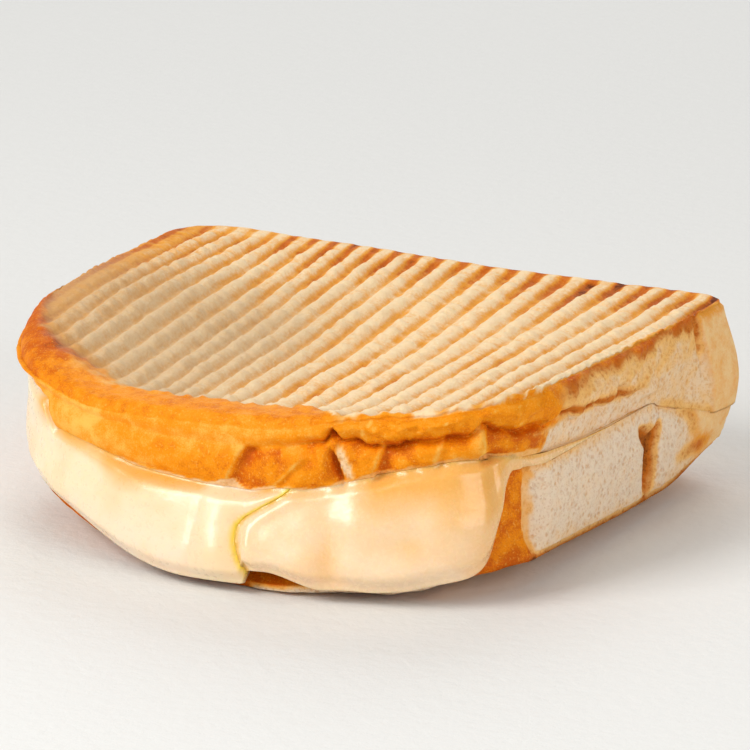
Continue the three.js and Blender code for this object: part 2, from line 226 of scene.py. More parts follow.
def in_zone(x: Array, y: Array, left: tuple[float, float], right: tuple[float, float]) -> Array:
    """A zone that fades in along Y, with its own limits on each side of the slice.

    Args:
        x, y: places over the plan.
        left: the y where the zone starts and the y where it is full, left of the middle.
        right: the same, right of the middle.

    Returns:
        0 outside the zone and 1 inside it.
    """
    return np.where(x < 0, smooth(*left, y), smooth(*right, y))


def front_crust(x: Array, y: Array) -> Array:
    """1 where the crust is the front's, which the cheese hangs over."""
    return in_zone(x, y, FRONT_CRUST_LEFT, FRONT_CRUST_RIGHT)


def hanging(x: Array, y: Array) -> Array:
    """1 where the cheese hangs down outside the lower slice."""
    return in_zone(x, y, HANGING_LEFT, HANGING_RIGHT)


def left_pinch(x: Array) -> Array:
    """How far the left end is drawn in under the lip."""
    return 3.2 * smooth(-32, -52, x)


def skin_toast(points: Array) -> Array:
    """Browning of the plain crust round the sides and back."""
    streaks = noise(points, (2.4, 2.4, 30.0), 42)
    return 0.11 + 0.1 * rough(points, 7.0, 41) + 0.06 * streaks


def corner_swell(x: Array, y: Array) -> Array:
    """Extra bulge of the back right corner."""
    return 2.8 * smooth(46, 60, x) * smooth(14, 36, y)


@dataclass(frozen=True)
class Levels:
    """Heights of the face, the cheese layer and the underside, without ridges."""

    plan: Plan = Plan()
    front_left: float = 33.0
    front_slope: float = 0.0375
    front_right_lift: float = 1.7
    back_left: float = 38.8
    back_fall: float = 1.9
    dish: float = 5.3
    layer: float = 17.3
    layer_left_rise: float = 4.0
    layer_right_rise: float = 6.2
    layer_corner_rise: float = 2.2
    layer_half: float = 1.1
    sealed_half: float = 0.025
    slice_gap: float = 1.22
    sealed_gap: float = 0.045
    left_lift: float = 10.0
    right_lift: float = 3.8
    front_right_base: float = 1.2
    corner_lift: float = 4.0
    front_curl: float = 1.0

    def face(self, x: Array, y: Array) -> Array:
        """Upper face of the upper slice, dished by the press."""
        front = self.front_left + self.front_slope * (x + 50.0) + self.front_right_lift * smooth(42, 62, x)
        back = self.back_left - self.back_fall * smooth(-50, 40, x)
        full_height = mix(4.0, 30.0, smooth(self.plan.left, self.plan.right, x))
        rim = mix(front, back, smooth(self.plan.front, full_height, y))
        across = smooth(-46, -18, x) * smooth(52, 10, x)
        along = smooth(46, -20, y) * smooth(-78, -42, y)
        return rim - self.dish * across * along

    def cheese(self, x: Array, y: Array) -> Array:
        """Middle of the cheese layer."""
        return (
            self.layer
            + self.layer_left_rise * smooth(0, -62, x)
            + self.layer_right_rise * smooth(18, 58, x)
            + self.layer_corner_rise * bump(x, 48, 18) * bump(y, -55, 22)
        )

    def sealed(self, x: Array, y: Array) -> Array:
        """1 at edges where no cheese runs out and the slices are pressed together."""
        return smooth(5.0, 1.0, self.plan.inside(x, y)) * in_zone(x, y, (8, 20), (-46, -12))

    def half_layer(self, x: Array, y: Array) -> Array:
        """Half the thickness of the cheese layer."""
        return mix(self.layer_half, self.sealed_half, self.sealed(x, y))

    def gap(self, x: Array, y: Array) -> Array:
        """Distance of each slice from the middle of the layer."""
        return mix(self.slice_gap, self.sealed_gap, self.sealed(x, y))

    def base(self, x: Array, y: Array) -> Array:
        """Underside of the lower slice: flat in the middle, lifted at both ends."""
        left_from = mix(-20.0, 2.0, smooth(-28, -50, y))
        left = self.left_lift * mix(0.5, 1.0, smooth(20, -45, y)) * smooth(left_from, self.plan.left - 2, x)
        right = self.right_lift + self.front_right_base * smooth(0, -45, y)
        right = right * smooth(38, self.plan.right, x)
        curl = self.front_curl * smooth(9, 0, y - self.plan.front_edge(x)) * bump(x, 32, 20)
        return left + right + curl + self.corner_lift * smooth(44, self.plan.right, x) * smooth(12, 38, y)

    def head(self, x: Array, y: Array) -> Array:
        """Height that the cheese reaches outside the upper slice's front."""
        foot = self.cheese(x, y) + self.layer_half
        welt = 0.7 + 0.9 * smooth(13, 19, x) * smooth(40, 31, x) + 1.2 * smooth(-10, -22, x)
        climbed = smooth(-32.5, -37.0, x) * smooth(-16, -34, y)
        waver = 0.35 * flat_noise(x, y, 5.0, 5.0, 64)
        return mix(foot + welt + waver, self.face(x, y) - 4.6, climbed)

    def flap(self, x: Array, y: Array) -> Array:
        """How far the torn skin of the upper slice hangs over the lower one at the back right corner."""
        return 7.2 * np.clip((y - 5.0) / 22.0, 0.0, 1.0) * smooth(42, 56, x)


@dataclass(frozen=True)
class Ridges:
    """Marks of the ribbed grill: rounded crests with narrower valleys between them.

    The marks stand closer together on the left, where the slice was squeezed.
    """

    plan: Plan = Plan()
    left_pitch: float = 4.65
    right_pitch: float = 5.85
    end_pitch: float = 4.9
    valley_at: float = 2.3
    depth: float = 1.3

    def count(self, x: Array) -> Array:
        """How many ridges lie between the first valley and x."""
        steps = np.linspace(-66.0, 70.0, 545)
        pitch = mix(self.left_pitch, self.right_pitch, smooth(-12, 26, steps))
        pitch = mix(pitch, self.end_pitch, smooth(44, 54, steps))
        counted = np.cumsum(1.0 / pitch) * (steps[1] - steps[0])
        return np.interp(x, steps, counted) - np.interp(self.valley_at, steps, counted)

    def wave(self, x: Array, y: Array) -> Array:
        """1 at the bottom of a valley and 0 on a crest, with crests that waver a little."""
        real_x = self.plan.splayed(x, y) + 1.2 * smooth(24, -30, y) * bump(x, 0, 30)
        waver = 0.24 * flat_noise(x, y, 9.0, 14.0, 5) + 0.14 * flat_noise(x, y, 2.6, 3.4, 6)
        return 0.5 + 0.5 * np.cos(2.0 * math.pi * self.count(real_x + waver))

    def groove(self, wave: Array, fade: Array) -> Array:
        """Depth of the valleys, which are narrower than the crests."""
        return self.depth * wave**1.5 * fade

    def fade(self, x: Array, y: Array) -> Array:
        """Share of the depth that is left near the edges."""
        ends = smooth(self.plan.left, self.plan.left + 9, x)
        ends = ends * smooth(self.plan.right, self.plan.right - 1.5, x)
        band = self.plan.band(x)
        front = smooth(band - 1.5, band + mix(5.0, 3.0, smooth(18, 34, x)), y - self.plan.front_edge(x))
        back = smooth(0.0, mix(9.0, 4.0, smooth(-20, 20, x)), self.plan.back_edge(x) - y)
        return ends * mix(0.05, 1.0, front) * mix(0.04, 1.0, back)


@dataclass(frozen=True)
class Dent:
    """A soft hollow in a wall, or a lump where its depth is negative.

    A place on a wall is a distance along it and a height. A lean moves the hollow
    along the wall as it rises.
    """

    along: float
    height: float
    half_length: float
    half_height: float
    depth: float
    lean: float = 0.0
    power: float = 1.0

    def at(self, along: Array, height: Array) -> Array:
        """Depth of the hollow at a place."""
        rise = height - self.height
        reach = ((along - self.along - self.lean * rise) / self.half_length) ** 2
        return self.depth * np.exp(-((reach + (rise / self.half_height) ** 2) ** self.power))


@dataclass(frozen=True)
class Fold:
    """A crease line in a wall: the side past the line lies deeper and comes back slowly."""

    foot: tuple[float, float]
    head: tuple[float, float]
    depth: float
    reach: float

    def past(self, along: Array, height: Array) -> tuple[Array, Array]:
        """How far past the line a place lies, and how far up the line."""
        share = (height - self.foot[1]) / (self.head[1] - self.foot[1])
        return along - mix(self.foot[0], self.head[0], share), share

    def at(self, along: Array, height: Array) -> Array:
        """Depth under the fold at a place."""
        past, share = self.past(along, height)
        ends = smooth(-0.15, 0.1, share) * smooth(1.2, 0.92, share)
        return self.depth * ends * smooth(-0.3, 0.4, past) * smooth(self.reach, 0.6, past)

    def edge(self, along: Array, height: Array) -> Array:
        """1 on the fold's proud edge, where a highlight is painted."""
        past, share = self.past(along, height)
        return bump(past, -0.45, 0.4) * smooth(-0.1, 0.1, share) * smooth(1.1, 0.95, share)


# ---------------------------------------------------------------------- materials


@dataclass(frozen=True)
class Browning:
    """Four colours of one kind of bread, from pale to dark."""

    pale: Colour
    golden: Colour
    brown: Colour
    dark: Colour


@dataclass(frozen=True)
class BreadFinish:
    """Finish of a slice: toasted face, crust and crumb, each with its own browning."""

    name: str
    face: Browning
    crust: Browning
    crumb: Browning
    face_roughness: float
    crust_roughness: float
    crumb_roughness: float


@dataclass(frozen=True)
class CheeseFinish:
    """Finish of a sheet of melted cheese."""

    name: str
    pale: Colour
    amber: Colour
    deep: Colour
    # Colour low on the cheese: a pinkish tone, lightened as painted light bounced up from the floor.
    blush: Colour
    roughness: float


def srgb(red: int, green: int, blue: int) -> Colour:
    """Linear colour from the usual 0 to 255 numbers."""

    def linear(value: int) -> float:
        """One channel made linear."""
        share = value / 255.0
        return share / 12.92 if share <= 0.04045 else ((share + 0.055) / 1.055) ** 2.4

    return linear(red), linear(green), linear(blue)


FACE = Browning(srgb(241, 213, 170), srgb(232, 160, 58), srgb(200, 102, 14), srgb(104, 44, 10))
CRUST = Browning(srgb(242, 181, 80), srgb(238, 143, 5), srgb(200, 91, 1), srgb(100, 36, 4))
CRUMB = Browning(srgb(236, 214, 188), srgb(242, 188, 112), srgb(200, 112, 32), srgb(84, 40, 14))
BREAD = BreadFinish("toasted_bread", FACE, CRUST, CRUMB, 0.66, 0.56, 0.85)
LOWER_BREAD = BreadFinish("bread_crumb", FACE, CRUST, CRUMB, 0.66, 0.55, 0.85)
PALE_CHEESE = CheeseFinish(
    "pale_cheese", srgb(243, 220, 182), srgb(238, 166, 62), srgb(244, 204, 56), srgb(244, 220, 190), 0.3
)
AMBER_CHEESE = CheeseFinish(
    "amber_cheese", srgb(240, 210, 168), srgb(238, 176, 88), srgb(238, 176, 44), srgb(246, 216, 178), 0.24
)
# How toasted the bread is where each colour starts to show and where it is full.
BROWNING_STEPS = {"Golden": (0.0, 0.4), "Brown": (0.35, 0.72), "Dark": (0.7, 1.0)}
# Scales of the pores, their patches and what bends them: lumps for each metre.
LARGE_PORES, SMALL_PORES, PORE_PATCHES, PORE_BENDS = 820.0, 1700.0, 400.0, 1200.0
PORE_BEND = 0.0007
# Colour of the painted highlight specks on the face's pale crests.
HIGHLIGHT_SPECKS = srgb(250, 230, 192)
PRESSED_GREY = srgb(188, 156, 116)
PORE_SHADE = srgb(216, 178, 146)
PAPER = srgb(230, 230, 228)


class NodeGroup:
    """A shader effect that several materials share, built once."""

    made: dict[str, bpy.types.NodeTree] = {}

    @classmethod
    def of(cls, name: str, build: Callable[[bpy.types.NodeTree], None]) -> bpy.types.NodeTree:
        """The group of that name, built on first use."""
        if name not in cls.made:
            tree = bpy.data.node_groups.new(name, "ShaderNodeTree")
            build(tree)
            cls.made[name] = tree
        return cls.made[name]


class Wiring:
    """Short calls that add and join shader nodes in one tree."""

    def __init__(self, tree: bpy.types.NodeTree) -> None:
        """Keeps the tree."""
        self.tree = tree

    def node(self, kind: str, **settings: object) -> bpy.types.Node:
        """A new node with its properties set."""
        made = self.tree.nodes.new(kind)
        for key, value in settings.items():
            setattr(made, key, value)
        return made

    def feed(self, socket: Socket, value: object) -> None:
        """Joins an output to a socket, or sets a plain value on it."""
        if isinstance(value, Socket):
            self.tree.links.new(value, socket)
        elif isinstance(value, tuple) and len(value) == 3 and socket.type == "RGBA":
            socket.default_value = (*value, 1.0)
        else:
            socket.default_value = value

    def math(self, operation: str, first: object, second: object, clamp: bool = False) -> Socket:
        """Result of a Math node."""
        made = self.node("ShaderNodeMath", operation=operation, use_clamp=clamp)
        self.feed(made.inputs[0], first)
        self.feed(made.inputs[1], second)
        return made.outputs[0]

    def add(self, first: object, second: object) -> Socket:
        """Sum of two values."""
        return self.math("ADD", first, second)

    def times(self, first: object, second: object) -> Socket:
        """Product of two values."""
        return self.math("MULTIPLY", first, second)

    def blend(self, share: object, first: object, second: object, mode: str = "MIX") -> Socket:
        """Result of a colour mix."""
        made = self.node("ShaderNodeMix", data_type="RGBA", blend_type=mode)
        self.feed(made.inputs["Factor"], share)
        self.feed(made.inputs["A"], first)
        self.feed(made.inputs["B"], second)
        return made.outputs["Result"]

    def ramp(
        self, value: object, low: float, high: float, to_low: float = 0.0, to_high: float = 1.0
    ) -> Socket:
        """Value mapped smoothly from one range to another."""
        made = self.node("ShaderNodeMapRange", interpolation_type="SMOOTHSTEP")
        for socket, number in zip(made.inputs, (value, low, high, to_low, to_high)):
            self.feed(socket, number)
        return made.outputs[0]

    def grain(self, vector: object, scale: float, detail: float = 3.0, roughness: float = 0.6) -> Socket:
        """Noise between about 0 and 1, with scale in lumps for each metre."""
        made = self.node("ShaderNodeTexNoise")
        self.feed(made.inputs["Vector"], vector)
        made.inputs["Scale"].default_value = scale
        made.inputs["Detail"].default_value = detail
        made.inputs["Roughness"].default_value = roughness
        return made.outputs["Fac"]

    def cells(self, vector: object, scale: float) -> Socket:
        """Distance to the nearest cell's middle."""
        made = self.node("ShaderNodeTexVoronoi")
        self.feed(made.inputs["Vector"], vector)
        made.inputs["Scale"].default_value = scale
        return made.outputs["Distance"]

    def attribute(self, name: str) -> Socket:
        """A painted mask of the mesh."""
        return self.node("ShaderNodeAttribute", attribute_name=name).outputs["Fac"]

    def place(self) -> Socket:
        """The point's place on the object."""
        return self.node("ShaderNodeTexCoord").outputs["Object"]

    def group(self, tree: bpy.types.NodeTree, **inputs: object) -> bpy.types.Node:
        """A group node with its inputs fed."""
        made = self.node("ShaderNodeGroup", node_tree=tree)
        for key, value in inputs.items():
            self.feed(made.inputs[key], value)
        return made

    def relief(self, height: Socket, strength: float, depth: float) -> Socket:
        """Normal of a fine relief whose depth is given in metres."""
        made = self.node("ShaderNodeBump")
        made.inputs["Strength"].default_value = strength
        made.inputs["Distance"].default_value = depth
        self.feed(made.inputs["Height"], height)
        return made.outputs[0]

    def surface(self, sockets: dict[str, object]) -> None:
        """A shader with its sockets fed, joined to the material's output."""
        shader = self.node("ShaderNodeBsdfPrincipled")
        for name, value in sockets.items():
            self.feed(shader.inputs[name], value)
        self.feed(self.node("ShaderNodeOutputMaterial").inputs["Surface"], shader.outputs[0])


def new_material(name: str) -> tuple[bpy.types.Material, Wiring]:
    """An empty material and what wires it."""
    material = bpy.data.materials.new(name)
    material.use_nodes = True
    material.node_tree.nodes.clear()
    return material, Wiring(material.node_tree)


def group_sockets(tree: bpy.types.NodeTree, inputs: dict[str, str], outputs: dict[str, str]) -> None:
    """Makes a group's named inputs and outputs."""
    for name, kind in inputs.items():
        tree.interface.new_socket(name, in_out="INPUT", socket_type=kind)
    for name, kind in outputs.items():
        tree.interface.new_socket(name, in_out="OUTPUT", socket_type=kind)


def build_browning(tree: bpy.types.NodeTree) -> None:
    """Four colours in a row, picked by how toasted the place is."""
    colours = {name: "NodeSocketColor" for name in ("Pale", *BROWNING_STEPS)}
    group_sockets(tree, {"Toast": "NodeSocketFloat", **colours}, {"Colour": "NodeSocketColor"})
    wires = Wiring(tree)
    given, result = wires.node("NodeGroupInput"), wires.node("NodeGroupOutput")
    colour = given.outputs["Pale"]
    for name, (start, end) in BROWNING_STEPS.items():
        colour = wires.blend(wires.ramp(given.outputs["Toast"], start, end), colour, given.outputs[name])
    wires.feed(result.inputs["Colour"], colour)


def build_pores(tree: bpy.types.NodeTree) -> None:
    """Open pores of a crumb: a mask of the holes and a height."""
    results = {"Holes": "NodeSocketFloat", "Height": "NodeSocketFloat"}
    group_sockets(tree, {"Vector": "NodeSocketVector"}, results)
    wires = Wiring(tree)
    given, result = wires.node("NodeGroupInput"), wires.node("NodeGroupOutput")
    vector = given.outputs["Vector"]
    warp = wires.node("ShaderNodeTexNoise")
    wires.feed(warp.inputs["Vector"], vector)
    warp.inputs["Scale"].default_value = PORE_BENDS
    bent = wires.node("ShaderNodeVectorMath", operation="MULTIPLY_ADD")
    wires.feed(bent.inputs[0], warp.outputs["Color"])
    bent.inputs[1].default_value = (PORE_BEND,) * 3
    wires.feed(bent.inputs[2], vector)
    large = wires.ramp(wires.cells(bent.outputs[0], LARGE_PORES), 0.12, 0.52, 1.0, 0.0)
    small = wires.ramp(wires.cells(bent.outputs[0], SMALL_PORES), 0.1, 0.5, 1.0, 0.0)
    patches = wires.ramp(wires.grain(vector, PORE_PATCHES), 0.34, 0.58)
    holes = wires.math("MAXIMUM", wires.times(large, patches), wires.times(small, 0.55))
    wires.feed(result.inputs["Holes"], holes)
    wires.feed(result.inputs["Height"], wires.math("SUBTRACT", 1.0, holes))


def browned(wires: Wiring, toast: Socket, colours: Browning) -> Socket:
    """Colour of one kind of bread at that much toasting."""
    tree = NodeGroup.of("browning", build_browning)
    made = wires.group(
        tree, Toast=toast, Pale=colours.pale, Golden=colours.golden, Brown=colours.brown, Dark=colours.dark
    )
    return made.outputs["Colour"]


def bread_material(finish: BreadFinish) -> bpy.types.Material:
    """Bread that reads its masks toast, crust, crumb and grey from the mesh."""
    material, wires = new_material(finish.name)
    place = wires.place()
    crust, crumb = wires.attribute("crust"), wires.attribute("crumb")
    toast, grey = wires.attribute("toast"), wires.attribute("grey")
    fine, broad = wires.grain(place, 1500.0), wires.grain(place, 330.0)
    specks = wires.grain(place, 3600.0, 2.0)
    pores = wires.group(NodeGroup.of("pores", build_pores), Vector=place)
    holes = pores.outputs["Holes"]

    uneven = wires.add(wires.ramp(fine, 0.25, 0.75, -0.06, 0.06), wires.ramp(broad, 0.3, 0.7, -0.06, 0.06))
    face = browned(wires, wires.add(toast, uneven), finish.face)
    # Painted highlight: pale specks on the paler crests stand in for small glints of light.
    on_pale = wires.ramp(toast, 0.12, 0.4, 0.4, 0.0)
    speck_highlights = wires.times(wires.ramp(wires.grain(place, 1300.0, 1.0), 0.58, 0.76), on_pale)
    face = wires.blend(speck_highlights, face, HIGHLIGHT_SPECKS)
    face = wires.blend(wires.times(grey, 0.55), face, PRESSED_GREY)

    crust_toast = wires.add(toast, wires.ramp(broad, 0.32, 0.68, -0.1, 0.1))
    crust_toast = wires.add(crust_toast, wires.ramp(specks, 0.3, 0.7, -0.07, 0.07))
    grains = wires.times(wires.ramp(wires.grain(place, 1900.0, 1.0), 0.57, 0.76), 0.45)
    crust_colour = wires.blend(grains, browned(wires, crust_toast, finish.crust), finish.crust.pale)

    crumb_uneven = wires.add(wires.times(holes, 0.07), wires.ramp(broad, 0.35, 0.7, -0.04, 0.06))
    crumb_colour = browned(wires, wires.add(toast, crumb_uneven), finish.crumb)
    crumb_colour = wires.blend(wires.times(holes, 0.5), crumb_colour, PORE_SHADE, "MULTIPLY")
    colour = wires.blend(crumb, wires.blend(crust, face, crust_colour), crumb_colour)

    height = wires.times(fine, wires.math("SUBTRACT", 1.0, wires.times(crust, 0.15)))
    height = wires.add(height, wires.times(specks, wires.ramp(crust, 0.0, 1.0, 0.35, 0.08)))
    height = wires.add(height, wires.times(wires.times(pores.outputs["Height"], crumb), 1.3))
    step = finish.crust_roughness - finish.face_roughness
    roughness = wires.add(wires.times(crust, step), finish.face_roughness)
    roughness = wires.math("MAXIMUM", roughness, wires.times(crumb, finish.crumb_roughness))
    wires.surface(
        {
            "Base Color": colour,
            "Roughness": wires.add(roughness, wires.ramp(fine, 0.3, 0.7, -0.05, 0.08)),
            "Specular IOR Level": 0.12,
            "Subsurface Weight": 0.1,
            "Subsurface Radius": (1.0, 0.55, 0.25),
            "Subsurface Scale": 0.0015,
            "Normal": wires.relief(height, 0.42, 0.0005),
        }
    )
    return material


def cheese_material(finish: CheeseFinish) -> bpy.types.Material:
    """Melted cheese that reads its masks amber, deep and the lower blush from the mesh; the blush is partly
    a pinkish tone and partly painted light bounced up from the floor.
    """
    material, wires = new_material(finish.name)
    place = wires.place()
    cloud, fine = wires.grain(place, 90.0, 2.0, 0.5), wires.grain(place, 900.0)
    cloudy = wires.ramp(cloud, 0.3, 0.7, -0.15, 0.15)
    amber = wires.math("ADD", wires.attribute("amber"), cloudy, clamp=True)
    plain = wires.blend(wires.attribute("blush"), finish.pale, finish.blush)
    colour = wires.blend(wires.attribute("deep"), wires.blend(amber, plain, finish.amber), finish.deep)
    low, high = finish.roughness - 0.06, finish.roughness + 0.1
    wires.surface(
        {
            "Base Color": colour,
            "Roughness": wires.ramp(fine, 0.25, 0.75, low, high),
            "Subsurface Weight": 0.35,
            "Subsurface Radius": (1.0, 0.6, 0.25),
            "Subsurface Scale": 0.002,
            "Coat Weight": 0.3,
            "Coat Roughness": 0.16,
            "Normal": wires.relief(wires.add(fine, wires.times(cloud, 2.0)), 0.1, 0.0006),
        }
    )
    return material


# ------------------------------------------------------------------------- meshes


def in_scene(name: str, data: bpy.types.ID) -> bpy.types.Object:
    """A new object in the scene, at the origin."""
    made = bpy.data.objects.new(name, data)
    bpy.context.scene.collection.objects.link(made)
    return made


def as_mesh(form: bmesh.types.BMesh, name: str) -> bpy.types.Mesh:
    """The mesh of a bmesh, which is freed."""
    mesh = bpy.data.meshes.new(name)
    form.to_mesh(mesh)
    form.free()
    return mesh


class Slot(Enum):
    """Material slots of the record."""

    TOAST = "toasted_bread"
    CRUMB = "bread_crumb"
    PALE = "pale_cheese"
    AMBER = "amber_cheese"


@dataclass
class Piece:
    """A finished mesh: where its vertices lie and the masks painted on them."""

    name: str
    mesh: bpy.types.Mesh
    points: Array
    masks: Masks

    def placed(self, move: Array) -> bpy.types.Object:
        """An object at the origin whose mesh lies in the CAD frame.

        Args:
            move: what takes the slices' frame to the CAD frame, in millimetres.

        Returns:
            The new object, in the scene.
        """
        self.mesh.vertices.foreach_set("co", ((self.points + move) * MM).astype(np.float32).ravel())
        for name, values in self.masks.items():
            layer = self.mesh.attributes.new(name, "FLOAT", "POINT")
            layer.data.foreach_set("value", np.clip(values, 0.0, 1.0).astype(np.float32))
        self.mesh.shade_smooth()
        self.mesh.update()
        return in_scene(self.name, self.mesh)

    def dress(self, move: Array, material: bpy.types.Material, slot: Slot, node: str) -> None:
        """Places the piece, gives it its finish and lets it stand for its CAD node."""
        made = self.placed(move)
        made.data.materials.append(material)
        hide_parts(node)
        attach(made, "root")
        LOG.info("%s: %d faces for %s", self.name, len(made.data.polygons), node)


def coordinates(mesh: bpy.types.Mesh) -> Array:
    """(n, 3) places of a mesh's vertices."""
    values = np.zeros(len(mesh.vertices) * 3, np.float32)
    mesh.vertices.foreach_get("co", values)
    return values.reshape(-1, 3).astype(float)


@dataclass
class SliceGrid:
    """A box with a fine grid on its main face and its walls, in unit coordinates.

    U and V run from 0 to 1 over the main face, and W from 0 on that face to 1 on the
    far face, which a few rings close.
    """

    columns: int
    rows: int
    wall_rows: int
    rings: tuple[float, ...] = (0.98, 0.94, 0.87, 0.78, 0.64, 0.48, 0.32, 0.16)

    def mesh(self, name: str) -> bpy.types.Mesh:
        """The box as a mesh with its faces pointing out."""
        form = bmesh.new()
        bmesh.ops.create_grid(form, x_segments=self.columns, y_segments=self.rows, size=0.5)
        edge = [e for e in form.edges if e.is_boundary]
        steps = [(row / self.wall_rows, 1.0) for row in range(1, self.wall_rows + 1)]
        steps += [(1.0, share) for share in self.rings]
        last_share = 1.0
        for depth, share in steps:
            made = bmesh.ops.extrude_edge_only(form, edges=edge)["geom"]
            verts = [v for v in made if isinstance(v, bmesh.types.BMVert)]
            edge = [e for e in made if isinstance(e, bmesh.types.BMEdge) and e.is_boundary]
            for vert in verts:
                vert.co.x *= share / last_share
                vert.co.y *= share / last_share
                vert.co.z = depth
            last_share = share
        bmesh.ops.holes_fill(form, edges=edge, sides=0)
        bmesh.ops.translate(form, verts=form.verts, vec=(0.5, 0.5, 0.0))
        bmesh.ops.recalc_face_normals(form, faces=form.faces)
        return as_mesh(form, name)


def eased(share: Array, end_cells: float, end_size: float) -> Array:
    """Spreads even steps so that they are fine at both ends.

    Args:
        share: even places from 0 to 1.
        end_cells: share of the steps that each end takes.
        end_size: share of the length that each end takes.

    Returns:
        Places from 0 to 1.
    """
    near = np.minimum(share, 1.0 - share)
    eased_end = end_size * (near / end_cells) ** 2
    middle = end_size + (near - end_cells) * (0.5 - end_size) / (0.5 - end_cells)
    distance = np.where(near < end_cells, eased_end, middle)
    return np.where(share < 0.5, distance, 1.0 - distance)


@dataclass
class Bread:
    """What both slices share: how a unit box becomes a slice.

    Reach is how far in from the edge a face follows the walls.
    """

    grid: SliceGrid
    levels: Levels
    ridges: Ridges
    finish: BreadFinish = BREAD
    slot: Slot = Slot.TOAST
    node: str = "top_slice"
    reach: float = 12.0

    @property
    def plan(self) -> Plan:
        """Outline of the slices."""
        return self.levels.plan

    def dress(self, piece: Piece, move: Array) -> None:
        """Gives the made slice its finish and its place."""
        piece.dress(move, bread_material(self.finish), self.slot, self.node)

    def spread(self, unit: Array) -> tuple[Array, Array, Array, Array, Array]:
        """Plan places of the unit box's vertices.

        Returns:
            x, y, whether on a wall, and the outline's normal there.
        """
        u, v = np.clip(unit[:, 0], 0.0, 1.0), np.clip(unit[:, 1], 0.0, 1.0)
        wall = (np.minimum(u, 1 - u) < ON_EDGE) | (np.minimum(v, 1 - v) < ON_EDGE)
        x = mix(self.plan.left, self.plan.right, eased(u, 0.08, 0.045))
        y = mix(self.plan.front_edge(x), self.plan.back_edge(x), eased(v, 0.05, 0.03))
        on_front, on_back = v < ON_EDGE, v > 1 - ON_EDGE
        nx, ny = self.plan.normal(x, on_front, on_back & ~on_front)
        return x, y, wall, nx, ny

    def followed(self, x: Array, y: Array, offset: Callable[[Array, Array], Array]) -> tuple[Array, Array]:
        """Where a point of a face lies once the walls near it have moved in or out."""
        plan = self.plan
        left = offset(np.full_like(x, plan.left), y) * smooth(self.reach, 0, x - plan.left)
        right = offset(np.full_like(x, plan.right), y) * smooth(self.reach, 0, plan.right - x)
        front = offset(x, plan.front_edge(x)) * smooth(self.reach, 0, y - plan.front_edge(x))
        back = offset(x, plan.back_edge(x)) * smooth(self.reach, 0, plan.back_edge(x) - y)
        return x + right - left, y + back - front


